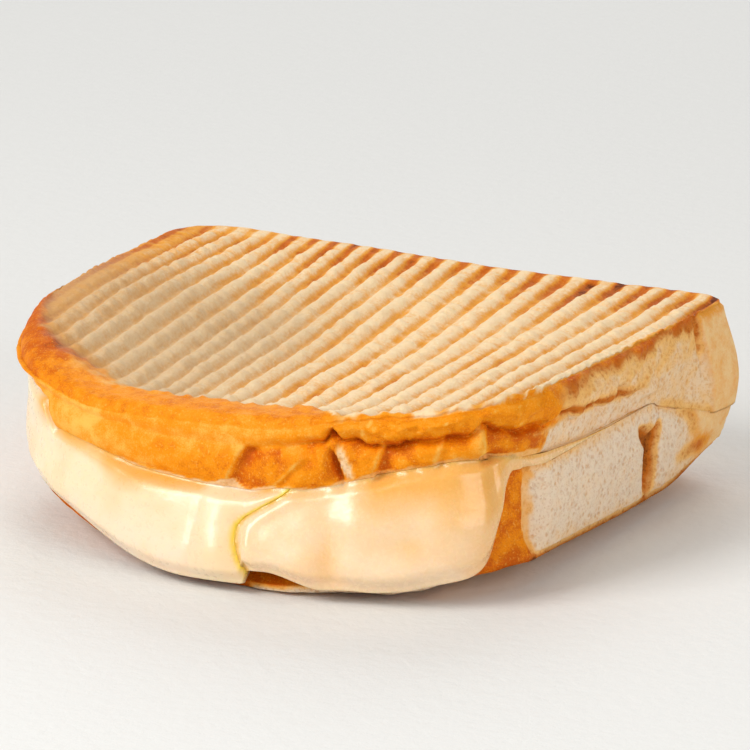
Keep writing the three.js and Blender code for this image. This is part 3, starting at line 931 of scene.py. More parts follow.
@dataclass
class TopSlice(Bread):
    """The upper slice: ridged toasted face, rolled lip, folded tier and torn crumb."""

    tier_bulge: float = 1.2
    skirt: float = 0.8  # the share of the wall's rows above its lowest edge
    edge_radius: float = 1.3
    white_gap: Dent = Dent(32.0, 26.0, 1.0, 3.4, 0.3, -0.33, 1.6)
    white_bit: Dent = Dent(56.1, 26.5, 0.8, 1.0, -0.3, -0.3, 2.0)
    dents: tuple[Dent, ...] = (
        Dent(12.8, 26.0, 1.5, 2.6, 0.8, 0.25),
        Dent(16.6, 27.0, 1.2, 3.0, -0.5, 0.2),
        Dent(19.2, 25.2, 1.0, 2.6, 0.7, 0.2),
        Dent(22.6, 26.5, 1.3, 3.6, -0.6, 0.1),
        Dent(25.2, 27.2, 0.9, 2.4, 0.5, 0.1),
        Dent(27.9, 25.4, 1.0, 3.6, -1.0, -0.3),
        Dent(30.2, 25.4, 0.8, 3.2, 2.8, -0.33, 1.5),
        Dent(28.2, 31.2, 2.6, 1.5, 1.5, 0.2, 1.2),
        Dent(31.2, 30.1, 2.0, 0.7, -0.9, 0.0, 1.5),
        Dent(34.4, 29.3, 1.2, 1.3, 1.2, 0.0, 1.3),
        Dent(43.0, 29.8, 1.7, 1.8, 1.3, 0.5, 1.2),
        Dent(46.4, 27.5, 2.0, 3.0, -0.6),
        Dent(50.2, 31.0, 2.4, 1.2, 1.2, 0.2, 1.3),
        Dent(53.9, 30.0, 1.0, 2.9, -1.0, -0.2, 1.5),
        Dent(55.1, 27.1, 0.8, 0.8, 1.8, 0.0, 1.5),
        white_gap,
        white_bit,
    )
    folds: tuple[Fold, ...] = (
        Fold((8.4, 20.0), (13.6, 31.0), 1.25, 9.0),
        Fold((18.6, 20.6), (23.6, 25.8), 0.5, 3.2),
        Fold((36.8, 22.6), (39.6, 31.4), 1.7, 5.5),
        Fold((47.6, 25.0), (49.4, 31.4), 0.7, 2.6),
        Fold((55.3, 26.4), (54.6, 33.6), 0.9, 6.0),
    )
    side_slits: tuple[Dent, ...] = (
        Dent(-42.4, 28.6, 0.4, 2.6, 0.9, 0.12, 1.5),
        Dent(-40.3, 27.0, 0.35, 2.4, 0.8, 0.1, 1.5),
    )
    scorch: Dent = Dent(24.3, 31.5, 1.2, 3.6, 1.0, -0.1)
    side_marks: tuple[Dent, ...] = (
        Dent(2.5, 26.8, 3.0, 1.2, -0.8, 0.0, 1.2),
        Dent(14.0, 31.0, 7.0, 2.5, -0.5),
        Dent(24.3, 29.5, 1.1, 5.5, 0.9, -0.1, 1.4),
        Dent(19.5, 24.0, 3.0, 2.0, 0.6, -1.0),
    )

    def lip_depth(self, x: Array, y: Array) -> Array:
        """Height of the rolled lip, or on the right side of the torn crumb over the crease."""
        front = (
            1.7
            + 1.8 * smooth(-25, 0, x)
            + 0.7 * smooth(28, 46, x)
            + 1.5 * smooth(55, 58.5, x)
            - 2.3 * bump(x, 29.4, 1.2)
            - 0.8 * bump(x, 42.4, 0.8)
            - 1.5 * bump(x, 54.7, 1.0)
        )
        side = 5.2 + 1.6 * smooth(-40, -22, y) + 1.4 * smooth(-22, 2, y)
        return np.where(x > self.plan.right - 0.6, mix(front, side, smooth(-44, -38, y)), front)

    def front_wall(self, points: Array, down: Array, tier: Array, lip: Array) -> Array:
        """How far the front wall stands out.

        Args:
            points: (n, 3) places on the wall.
            down: 0 at the rim, 1 at the lip's lower edge, more below it.
            tier: 0 at the lip's lower edge, 1 at the foot.
            lip: height of the lip.

        Returns:
            Distance out from the outline.
        """
        x, height = points[:, 0], points[:, 2]
        roll = np.sin(math.pi * np.clip(down, 0, 1) ** 0.75)
        loose = smooth(20, 31, x)
        knob = smooth(-34, -47, x)
        crease_depth = 0.12 + 0.45 * smooth(10, 22, x) + 0.45 * knob + 1.1 * loose
        crease = bump(down, 1.08, mix(1.3, 0.8, loose) / np.maximum(lip, 1.0))
        bulge = 0.3 + 0.9 * knob + 0.4 * smooth(10, 20, x) + 0.9 * loose
        tattered = 1 + 0.4 * noise(points, (2.2, 2.2, 1.5), 22) * loose
        skirt = np.sin(math.pi * np.clip(tier, 0, 1) ** 0.8) ** 0.7
        out = bulge * roll * tattered - crease_depth * crease
        out += self.tier_bulge * skirt - 0.4 * smooth(0.7, 0.9, tier)
        for mark in (*self.dents, *self.folds):
            out -= mark.at(x, height) * smooth(0.9, 1.25, down)
        out += self.mottle(points) * mix(0.12, 0.34, smooth(4, 12, x)) * smooth(1.0, 1.3, down)
        above = height - self.levels.head(x, self.plan.front_edge(x)) - self.torn_rim(x)
        out += 0.3 * smooth(0.25, -0.1, above) * smooth(-30, -12, x)
        pebbles = 0.14 * rough(points, 3.4, 23) + mix(0.07, 0.2, loose) * noise(points, 0.9, 24)
        ragged = 0.85 * rough(points, 2.0, 27) * loose * smooth(1.15, 0.8, down)
        return out + (pebbles + ragged) * smooth(0, 0.3, down)

    @staticmethod
    def mottle(points: Array) -> Array:
        """Small lumps and hollows of the folded crust."""
        return noise(points, (2.6, 2.6, 3.4), 19)

    @staticmethod
    def torn_rim(x: Array) -> Array:
        """How far the pale torn rim reaches up from the cheese."""
        rim = 0.35 + 0.12 * np.sin(0.9 * x) + 1.3 * bump(x, 8.2, 2.3) + 0.4 * bump(x, 37.5, 4.0)
        return rim * smooth(-22, -8, x) * (1 - 0.8 * bump(x, 26.5, 4.0))

    @staticmethod
    def skin_edge(points: Array) -> Array:
        """Y that wavers, for the ragged edge between torn crumb and the corner's skin."""
        return points[:, 1] + 0.35 * noise(points, 2.5, 29) + 0.12 * (points[:, 2] - 22)

    @staticmethod
    def strands(points: Array) -> Array:
        """Places turned so that noise runs along the torn crumb's slanting fibres."""
        x, y, height = points.T
        return stacked(y * 0.9 + height * 0.44, height * 0.9 - y * 0.44, x)

    def side_wall(self, points: Array, down: Array, level: Array) -> Array:
        """How far the right side's torn crumb stands out from the plain wall."""
        x, y, height = points.T
        on_right = smooth(42, 57, x) * smooth(-44, -38, y)
        strands = self.strands(points)
        fibres = 0.42 * noise(strands, (7.0, 1.5, 4.0), 25) + 0.3 * noise(strands, (3.4, 0.9, 4.0), 26)
        crumb = 0.3 * rough(points, 3.0, 28)
        crease = 1.5 * bump(down, 1.05, 0.11) * smooth(4, -14, y) * smooth(-44, -36, y)
        under = 0.9 * smooth(1.0, 1.2, down) * smooth(8, -6, y) * smooth(0.96, 0.8, level)
        out = 1.1 * bump(down, 0.6, 0.35) * smooth(10, -10, y) - crease - under
        out -= sum(mark.at(y, height) for mark in self.side_marks)
        out -= sum(slit.at(y, height) for slit in self.side_slits)
        torn = smooth(27.2, 26.0, self.skin_edge(points))
        out += (fibres * smooth(1.1, 0.8, down) + crumb) * torn - 0.75 * torn * smooth(12, 24, y)
        return on_right * out

    def wall(self, x: Array, y: Array, level: Array, rim: Array, foot: Array) -> tuple[Array, Array]:
        """The wall's section: out and down to its lowest edge, then in under it.

        Returns:
            How far the wall stands out and its height, at a level from 0 at the rim to 1 inside its foot.
        """
        flap = self.levels.flap(x, y)
        low = foot - flap - 0.5 * smooth(0.0, 1.0, flap)
        out_share = np.clip(level / self.skirt, 0, 1)
        back_share = np.clip((level - self.skirt) / (1 - self.skirt), 0, 1)
        height = mix(mix(rim, low, out_share), foot, back_share)
        points = stacked(x, y, height)
        uneven = mix(0.12, 0.26, smooth(24, 32, x)) * noise(points, (2.6, 2.6, 40.0), 21)
        lip = self.lip_depth(x, y) * (1.0 + uneven)
        down = (rim - height) / lip
        tier = np.clip((rim - lip - height) / np.maximum(rim - lip - low, 1.0), 0.0, 1.0)
        rolled = self.front_wall(points, down, tier, lip)
        plain = 1.5 * np.sin(math.pi * np.minimum(1, 0.12 + out_share * 0.8))
        plain += corner_swell(x, y) * smooth(0, 0.8, out_share)
        plain += 0.55 * smooth(1.0, 5.0, flap) * smooth(0.5, 1.0, out_share) * smooth(38, 30, y)
        plain += self.side_wall(points, down, level) + 0.1 * rough(points, 6.0, 30)
        offset = mix(plain, rolled, front_crust(x, y)) - left_pinch(x) * smooth(0, 0.35, level)
        offset -= mix(0.15, 1.1, smooth(0.2, 2.0, flap)) * smooth(0, 0.45, back_share)
        sag = -0.6 * smooth(0.5, 0.95, down) * smooth(1.3, 1.0, down) * smooth(24, 34, x) * smooth(6, -6, y)
        start = smooth(0.0, 0.04, level)
        offset = offset * mix(start, 1.0, smooth(34, 20, x) * front_crust(x, y))
        return offset - 0.3 * (1 - start) * smooth(20, 34, x), height + sag

    def shoulder(self, x: Array, from_front: Array) -> Array:
        """How far the rim rolls down at the front, widest at the left and middle."""
        reach = mix(5.5, 1.8, smooth(16, 34, x))
        drop = mix(2.4, 0.7, smooth(16, 34, x))
        share = np.clip(1 - from_front / reach, 0, 1)
        rolled = drop * (1 - np.sqrt(1 - np.minimum(share, 0.999) ** 2))
        return rolled - 0.7 * bump(from_front, reach + 1.5, 3.0) * smooth(34, 16, x)

    def rim(self, x: Array, y: Array) -> Array:
        """Height of the wall's top."""
        from_front = y - self.plan.front_edge(x)
        return self.levels.face(x, y) - 0.6 - self.shoulder(x, from_front) * smooth(3, 0, from_front)

    @staticmethod
    def beads(x: Array, y: Array) -> Array:
        """Small beads of crumb along the ridges."""
        return flat_noise(x, y, 2.0, 1.3, 11)

    def face_top(self, x: Array, y: Array, wave: Array, fade: Array) -> Array:
        """Height of the face, with its ridges and beads, its rolled front and its frayed edge."""
        from_front, from_back = y - self.plan.front_edge(x), self.plan.back_edge(x) - y
        edge = self.plan.inside(x, y)
        beads = 0.42 * self.beads(x, y) + 0.1 * flat_noise(x, y, 1.1, 1.2, 12)
        round_share = np.clip(1 - edge / self.edge_radius, 0, 1)
        round_edge = 0.6 * (1 - np.sqrt(np.clip(1 - round_share**2, 0, 1)))
        fringe_at = mix(8.0, 0.8, smooth(16, 34, x))
        fringe = bump(from_front, fringe_at, 1.6) * (0.25 + 0.5 * flat_noise(x, y, 1.6, 1.3, 15))
        fringe *= smooth(-52, -40, x)
        frayed = 0.3 * flat_noise(x, y, 1.0, 1.0, 14) * smooth(2.5, 0.4, edge) * smooth(0, 12, from_back)
        uneven = 0.3 * rough(stacked(x, y, np.zeros_like(x)), 16.0, 13)
        top = self.levels.face(x, y) - self.ridges.groove(wave, fade) - self.shoulder(x, from_front)
        top += beads * mix(0.3, 1.0, (1 - wave) * fade) - round_edge
        return top + uneven + np.maximum(fringe, 0) + frayed

    def foot_offset(self, x: Array, y: Array) -> Array:
        """How far the wall's foot stands out."""
        return self.wall(x, y, np.ones_like(x), self.rim(x, y), self.levels.cheese(x, y) + 1.0)[0]

    def make(self) -> Piece:
        """The slice as a piece."""
        mesh = self.grid.mesh("top_slice_bread")
        unit = coordinates(mesh)
        x, y, wall, nx, ny = self.spread(unit)
        level = unit[:, 2]
        wave, fade = self.ridges.wave(x, y), self.ridges.fade(x, y)
        top = self.face_top(x, y, wave, fade)
        rim = self.rim(x, y) - self.ridges.groove(wave, fade) * smooth(1.5, 0, self.plan.inside(x, y))
        foot = self.levels.cheese(x, y) + self.levels.gap(x, y)
        offset, wall_z = self.wall(x, y, level, rim, foot)
        final = stacked(x + nx * offset, y + ny * offset, np.where(level < ON_EDGE, top, wall_z))
        on_face, under = ~wall & (level < 0.5), ~wall & (level > 0.5)
        final[on_face] = stacked(x, y, top)[on_face]
        under_x, under_y = self.followed(x[under], y[under], self.foot_offset)
        gap = self.levels.gap(x[under], y[under])
        final[under] = stacked(under_x, under_y, self.levels.cheese(under_x, under_y) + gap)
        final[:, 0] = self.plan.splayed(final[:, 0], final[:, 1])

        face, walls = self.paint_face(x, y, wave), self.paint_wall(stacked(x, y, wall_z), rim, foot)
        turned = wall & (level > ON_EDGE)
        masks = {name: np.where(turned, walls[name], face[name]) for name in face}
        return Piece("top_slice_bread", mesh, final, masks)

    def paint_face(self, x: Array, y: Array, wave: Array) -> Masks:
        """Masks of the ridged face."""
        from_front, from_back = y - self.plan.front_edge(x), self.plan.back_edge(x) - y
        valley = smooth(0.45, 0.97, wave)
        quiet = smooth(14, -20, x) * smooth(24, -10, y)
        patch = 0.5 + 0.5 * flat_noise(x, y, 11.0, 16.0, 31)
        lines = 0.5 + 0.5 * flat_noise(x, y, 4.5, 9.0, 32)
        valley_toast = mix(0.22 + 0.32 * patch * lines, 0.1 + 0.14 * patch, quiet)
        toast = 0.03 + valley * valley_toast + 0.08 * patch * lines
        back = smooth(22, 1, from_back + 6 * flat_noise(x, y, 5.0, LONG, 33)) * smooth(-46, -18, x)
        toast += back * (0.36 * smooth(0.2, 0.75, wave) + 0.06) * mix(1.0, 0.7, smooth(50, 58, x))
        toast += 0.22 * smooth(1.2, 0.0, from_back) * smooth(-30, -5, x) * smooth(60, 54, x)
        toast += 0.14 * smooth(-30, -50, x) + 0.25 * smooth(-46, -54, x)
        # Painted highlight: paler on the tops of the crumb beads that stand up from the face.
        toast -= 0.1 * self.beads(x, y) * (1 - quiet)
        band = self.plan.band(x)
        ragged = from_front + 1.6 * flat_noise(x, y, 3.0, 2.4, 34)
        ragged += 0.8 * flat_noise(x, y, 1.3, 1.2, 35)
        soft = mix(0.6, 3.2, smooth(-14, -40, x))
        crust = smooth(band + soft, band - soft, ragged)
        scorch = bump(from_front, band + 0.6, 4.0) * bump(x, -39, 11)
        threads = 0.5 + 0.5 * flat_noise(x, y, 1.1, 1.6, 46)
        pale_fringe = bump(ragged, band - 2.2, 2.6) * smooth(-44, -30, x) * smooth(26, 8, x) * threads
        crust = crust * (1 - 0.75 * pale_fringe)
        crust_toast = 0.36 + 0.12 * patch - 0.3 * pale_fringe + 0.3 * scorch + 0.16 * smooth(-28, -45, x)
        toast = mix(toast, crust_toast, crust) + 0.55 * scorch * (1 - crust)
        side_band = smooth(1.6, 0.2, self.plan.right - x + 0.8 * flat_noise(x, y, 9.0, 3.0, 36))
        toast += side_band * (0.25 * smooth(8, 26, y) + 0.3 * bump(y, 9.0, 2.0))
        return {"toast": toast, "crust": crust, "crumb": np.zeros_like(x), "grey": quiet * (1 - crust)}

    def front_toast(self, points: Array, down: Array) -> tuple[Array, Array, Array]:
        """Toasting of the lip and of the folded crust under it, with painted shade in its hollows and
        creases and painted highlights along its folds' edges.

        Args:
            points: (n, 3) places.
            down: 0 at the rim, 1 at the lip's lower edge, more below it.

        Returns:
            The toasting, and the masks of the torn rim and of the white gap.
        """
        x, height = points[:, 0], points[:, 2]
        below = smooth(0.8, 1.2, down)
        depth = sum(mark.at(x, height) for mark in (*self.dents, *self.folds)) * below
        edges = sum(fold.edge(x, height) for fold in self.folds) * below
        toast = 0.26 + 0.2 * smooth(-24, 10, x) * smooth(0.9, 1.5, down)
        # Painted shade: darker in the dents and under the folds, paler on the lumps; painted highlight:
        # paler along the folds' proud edges.
        toast += 0.11 * np.clip(depth, -0.5, 2.0) - 0.3 * edges + 0.09 * rough(points, 5.0, 37)
        # Painted shade in the crease under the lip, at the right.
        toast += 0.26 * bump(down, 1.1, 0.2) * smooth(18, 30, x)
        toast += 0.12 * smooth(20, 31, x) * smooth(1.1, 0.9, down)
        toast += (0.14 * smooth(54.6, 55.4, x) - 0.12 * smooth(38, 46, x)) * below
        # Painted light and shade: paler on the crust's small lumps, darker in its hollows.
        toast -= 0.1 * self.mottle(points) * smooth(4, 12, x) * below
        toast -= 0.16 * bump(x, -26.5, 7.0) * bump(height, 26.4, 4.0)
        toast += 0.12 * smooth(-30, -46, x) * smooth(1.1, 0.8, down)
        flecks = smooth(0.5, 0.85, noise(points, (1.1, 1.1, 0.8), 39))
        toast -= 0.32 * flecks * smooth(26, 34, x) * smooth(1.0, 0.7, down)

        above = height - self.levels.head(x, self.plan.front_edge(x)) - self.torn_rim(x)
        torn = smooth(0.12, -0.12, above + 0.25 * noise(points, 1.6, 38)) * smooth(-24, -10, x)
        white = smooth(0.03, 0.2, self.white_gap.at(x, height))
        white += smooth(-0.06, -0.15, self.white_bit.at(x, height))
        white = np.clip(white * below, 0, 1)
        pale_toast = 0.2 * white + mix(0.1, 0.3, smooth(12, 34, x)) * torn
        return mix(toast, pale_toast, np.maximum(torn, white)), torn, white

    def side_toast(self, points: Array, down: Array, under_rim: Array, over_foot: Array) -> Array:
        """Toasting of the torn crumb at the right, with painted shade in its crease, in its slits and near
        the flap's lower edge.

        Args:
            points: (n, 3) places.
            down: 0 at the rim, 1 at the crease.
            under_rim: distance below the rim.
            over_foot: height over the wall's foot.

        Returns:
            The toasting.
        """
        x, y, height = points.T
        fibre = 0.5 + 0.5 * noise(self.strands(points), (7.0, 1.2, 4.0), 40)
        side = 0.19 + 0.2 * fibre * smooth(1.05, 0.7, down)
        side -= 0.06 * smooth(1.0, 1.15, down) * smooth(8, -4, y)
        side += 0.36 * smooth(3.4, 0.6, under_rim) + 0.3 * smooth(12, 26, y) * smooth(4.5, 2.0, under_rim)
        # Painted shade in the crease under the torn crumb.
        side += 0.6 * bump(down, 1.04, 0.15) * smooth(4, -14, y) * smooth(-46, -40, y)
        side += 0.16 * bump(y, -33, 6.0) * smooth(0.9, 0.5, down) * smooth(0.1, 0.4, down)
        side += 0.28 * self.scorch.at(y, height) + 0.12 * bump(height, 23.8, 1.0) * smooth(-12, -30, y)
        # Painted shade in the slits, darker where they are deeper.
        side += 0.22 * sum(smooth(0.1, 0.6, slit.at(y, height)) for slit in self.side_slits)
        flap = self.levels.flap(x, y)
        # Painted shade near the hanging flap's lower edge.
        side += 0.2 * smooth(2.4, 0.2, over_foot + flap) * smooth(0.5, 2.0, flap)
        return np.minimum(side, 0.68)

    def paint_wall(self, points: Array, rim: Array, foot: Array) -> Masks:
        """Masks of the walls."""
        x, y, height = points.T
        down = (rim - height) / self.lip_depth(x, y)
        under_rim = rim - height + 0.7 * noise(points, (3.0, 3.0, 9.0), 45)
        front = front_crust(x, y)
        front_toast, torn, white = self.front_toast(points, down)
        crumb_toast = self.side_toast(points, down, under_rim, height - foot)
        plain_toast = skin_toast(points) + 0.25 * smooth(2.5, 0.0, rim - height)
        on_right = (x > self.plan.right - 0.5).astype(float)
        skin = smooth(26.0, 27.2, self.skin_edge(points))
        far = y + 1.6 * noise(points, (3.0, 3.0, 1.6), 43) + 1.3 * noise(points, (1.3, 1.3, 0.8), 47)
        orange_end = smooth(-38.4, -41.4, far) * smooth(30.5, 29.0, height)
        orange_end = np.maximum(orange_end, smooth(-31.0, -38.0, far) * smooth(29.0, 30.5, height))
        side_crumb = on_right * (1 - skin) * (1 - orange_end) * smooth(0.2, 1.6, under_rim)
        side_toast = mix(plain_toast, crumb_toast, on_right * (1 - skin))
        side_toast = mix(side_toast, 0.42, on_right * orange_end)
        skinned = mix(1.0, skin, on_right)
        return {
            "toast": mix(side_toast, front_toast, front * (1 - on_right * (1 - orange_end))),
            "crust": 1.0 - np.maximum(side_crumb, 0.6 * skinned) * (1 - front),
            "crumb": np.maximum(front * np.maximum(0.55 * torn, white), side_crumb),
            "grey": 0.15 * skinned * (1 - front),
        }


@dataclass
class BottomSlice(Bread):
    """The lower slice: ribbed toasted underside, open crumb at the right, tucked front."""

    finish: BreadFinish = LOWER_BREAD
    slot: Slot = Slot.CRUMB
    node: str = "bottom_slice"
    slit: Dent = Dent(4.4, 12.2, 2.6, 5.8, 2.5, 0.0, 1.5)
    slit_arms: tuple[Dent, ...] = (
        Dent(1.8, 17.8, 1.8, 1.9, 1.6, -0.4, 1.2),
        Dent(7.4, 17.0, 1.6, 1.9, 1.6, 0.4, 1.2),
    )
    skin_marks: tuple[tuple[float, Dent], ...] = (
        (0.45, Dent(22.5, 10.0, 6.5, 1.8, 1.0, 0.8, 1.5)),
        (0.34, Dent(21.0, 16.0, 2.0, 4.0, 1.0, -0.6, 1.2)),
    )

    def wall(self, x: Array, y: Array, level: Array) -> Array:
        """How far the wall stands out, with level 0 at its top and 1 at its foot."""
        flare_share = mix(0.45, 1.0, bump(x, 21, 9))
        flare = 4.2 * flare_share * smooth(0.76, 0.96, level) * smooth(-50, -5, x)
        plain = 1.2 * np.sin(math.pi * np.minimum(1, 0.1 + level * 0.85))
        plain = plain + corner_swell(x, y) * smooth(1.0, 0.1, level)
        round_foot = 0.9 * smooth(0.93, 1.0, level)
        return mix(plain - round_foot, flare - 2.2, front_crust(x, y)) - left_pinch(x)

    def end_offset(self, x: Array, y: Array, level: float) -> Array:
        """How far the wall's top or foot stands out, its top tucked under the upper slice's skin."""
        tucked = 2.6 * (1.0 - level) * smooth(0.2, 2.0, self.levels.flap(x, y))
        return self.wall(x, y, np.full_like(x, level)) - tucked

    def slit_depth(self, y: Array, height: Array) -> Array:
        """Depth of the slit and its two short arms."""
        return sum(part.at(y, height) for part in (self.slit, *self.slit_arms))

    @staticmethod
    def strip_edge(points: Array) -> Array:
        """Y that wavers, for the ragged edge of the crust strip at the front right."""
        return points[:, 1] + 0.35 * noise(points, 2.4, 52)

    def side_relief(self, x: Array, y: Array, height: Array) -> Array:
        """Crumb relief, the slit and the place where the upper slice's skin hangs over."""
        points = stacked(x, y, height)
        on_right = smooth(50, 59, x) * smooth(-46, -42, y)
        slit = self.slit_depth(y, height)
        pores = 0.26 * rough(points, 2.6, 50) + 0.14 * noise(points, 0.9, 51)
        step = 0.5 * smooth(-43.2, -42.6, self.strip_edge(points)) * smooth(30, 20, y)
        flap = self.levels.flap(x, y)
        hung = smooth(0.12, 0.6, height - (self.levels.cheese(x, y) - flap)) * smooth(0.2, 2.0, flap)
        return on_right * (pores - slit - step) + 0.12 * rough(points, 5.0, 53) - 1.6 * hung

    def make(self) -> Piece:
        """The slice as a piece."""
        mesh = self.grid.mesh("bottom_slice_bread")
        unit = coordinates(mesh)
        x, y, wall, nx, ny = self.spread(unit)
        level = 1.0 - unit[:, 2]
        wave, fade = self.ridges.wave(x, y), self.ridges.fade(x, y)
        relief = 0.8 * self.ridges.groove(wave, fade) + np.abs(0.1 * flat_noise(x, y, 2.2, 1.5, 54))
        gap = self.levels.gap(x, y)

        def spot(at_level: float) -> tuple[Array, Array]:
            """Plan places of the wall at a level."""
            offset = self.wall(x, y, np.full_like(x, at_level))
            return x + nx * offset, y + ny * offset

        foot = self.levels.base(*spot(1.0)) + relief + 0.8 * smooth(0.9, 1.0, level) * (level < 1)
        height = mix(self.levels.cheese(*spot(0.0)) - gap, foot, level)
        offset = self.wall(x, y, level) + self.side_relief(x, y, height) * smooth(1, 0.96, level)
        final = stacked(x + nx * offset, y + ny * offset, height)
        for at_level in (0.0, 1.0):
            chosen = ~wall & ((level > 0.5) == (at_level > 0.5))
            near_x, near_y = self.followed(
                x[chosen], y[chosen], lambda a, b, value=at_level: self.end_offset(a, b, value)
            )
            over = self.levels.cheese(near_x, near_y) - gap[chosen]
            under = self.levels.base(near_x, near_y) + relief[chosen]
            final[chosen] = stacked(near_x, near_y, mix(over, under, at_level))
        masks = self.paint(stacked(x, y, np.where(wall, height, 0.0)), height, wave, wall)
        final[:, 0] = self.plan.splayed(final[:, 0], final[:, 1])
        return Piece("bottom_slice_bread", mesh, final, masks)

    def paint(self, points: Array, height: Array, wave: Array, wall: Array) -> Masks:
        """Masks of the slice's crust, crumb, toasting and greyness, with painted shade under the flap and in
        the slit.

        Args:
            points: (n, 3) places, with a height on the walls alone.
            height: height of every place.
            wave: 1 at the bottom of a ridge's valley.
            wall: whether a place is on a wall.

        Returns:
            The masks by name.
        """
        x, y = points[:, 0], points[:, 1]
        over_base, under_top = height - self.levels.base(x, y), self.levels.cheese(x, y) - height
        stain = smooth(0.0, 0.8, flat_noise(x, y, 18.0, 20.0, 55))
        toast_face = 0.2 + 0.34 * (1 - wave) + 0.2 * stain
        on_right = (x > self.plan.right - 3.0).astype(float)
        edge = self.strip_edge(points)
        strip = smooth(0.15, -0.15, edge + 43.0)
        band = smooth(-40.2, -41.4, edge + 0.6 * noise(points, 1.4, 53))
        front = mix(front_crust(x, y), strip, on_right)
        skin = smooth(20, 27, y + 0.25 * (height - 10) + 1.5 * noise(points, (3.0, 3.0, 3.0), 56))
        side = 0.04 + 0.55 * smooth(1.6, 0.1, over_base) + 0.1 * smooth(4.5, 1.5, over_base)
        side += 0.16 * smooth(3.6, 0.4, under_top)
        side += 0.24 * band + 0.07 * smooth(10, 22, y) + 0.1 * bump(height, 22.8, 1.2) * smooth(-12, -30, y)
        flap = self.levels.flap(x, y)
        # Painted shade under the upper slice's hanging flap.
        side += 0.22 * smooth(3.2, 0.2, under_top - flap) * smooth(0.5, 2.0, flap)
        slit = self.slit_depth(y, height)
        # Painted shade in the slit and its arms, darker where they are deeper.
        side += 0.46 * smooth(0.0, 0.6, slit) + 0.34 * smooth(0.7, 2.0, slit)
        toast_front = 0.52 + 0.2 * smooth(3.0, 0.5, over_base) + 0.06 * rough(points, 5.0, 57)
        pale_height = mix(1.3, 2.6, smooth(18, 30, x))
        pale_foot = smooth(12.5, 14.5, x) * smooth(56, 47, x) * smooth(pale_height, 0.6, over_base)
        plain = skin_toast(points) + 0.3 * smooth(2.0, 0.3, over_base)
        side = mix(side, plain, skin) + sum(share * mark.at(y, height) for share, mark in self.skin_marks)
        toast_wall = mix(mix(plain, side, on_right), mix(toast_front, 0.06, pale_foot), front)
        skinned = mix(1.0, skin, on_right) * (1 - front)
        crumb = np.maximum(on_right * (1 - 0.45 * band) * (1 - skin) * (1 - front), pale_foot * front)
        return {
            "toast": np.where(wall, toast_wall, toast_face),
            "crust": np.where(wall, 1.0 - np.maximum(crumb, 0.6 * skinned), 0.0),
            "crumb": np.where(wall, crumb, 0.0),
            "grey": np.where(wall, 0.1 * skinned, 0.0),
        }


class Stretch(Enum):
    """Stretches of the cheese's skin, from the middle of its top round to the middle below."""

    UPPER = "upper"
    RISE = "rise"
    OUTER = "outer"
    LIP = "lip"
    INNER = "inner"
    UNDER = "under"


class Brink:
    """Places on the slices' outline and how the cheese runs there.

    Spread is 1 where it has run out between the slices, and drop is 1 where it hangs down.
    Film is 1 where a film of it shows between slices pressed together, and sealed is 1
    where almost none shows. Pinch is how far it is drawn in, and half is half its thickness.
    """

    def __init__(self, levels: Levels, x: Array, y: Array, nx: Array, ny: Array) -> None:
        """Works out how the cheese runs.

        Args:
            levels: heights of the layer.
            x, y: places on the outline.
            nx, ny: the outline's normals there.
        """
        self.x, self.y, self.nx, self.ny = x, y, nx, ny
        hang = hanging(x, y)
        self.spread, self.drop = smooth(0, 0.3, hang), smooth(0.3, 1.0, hang)
        self.half = levels.half_layer(x, y)
        self.film = smooth(44, 54, x) * smooth(-45, -38, y)
        self.sealed = np.maximum(smooth(0.9, 0.3, self.half), 0.9 * self.film)
        self.inset, self.inner_inset = mix(0.9, 0.1, self.sealed), mix(1.4, 0.4, self.sealed)
        self.pinch = left_pinch(x) + 3.2 * smooth(0.0, 0.7, levels.flap(x, y))

    def out(self, offset: Array) -> tuple[Array, Array]:
        """Plan places that far out from the outline."""
        return self.x + self.nx * offset, self.y + self.ny * offset


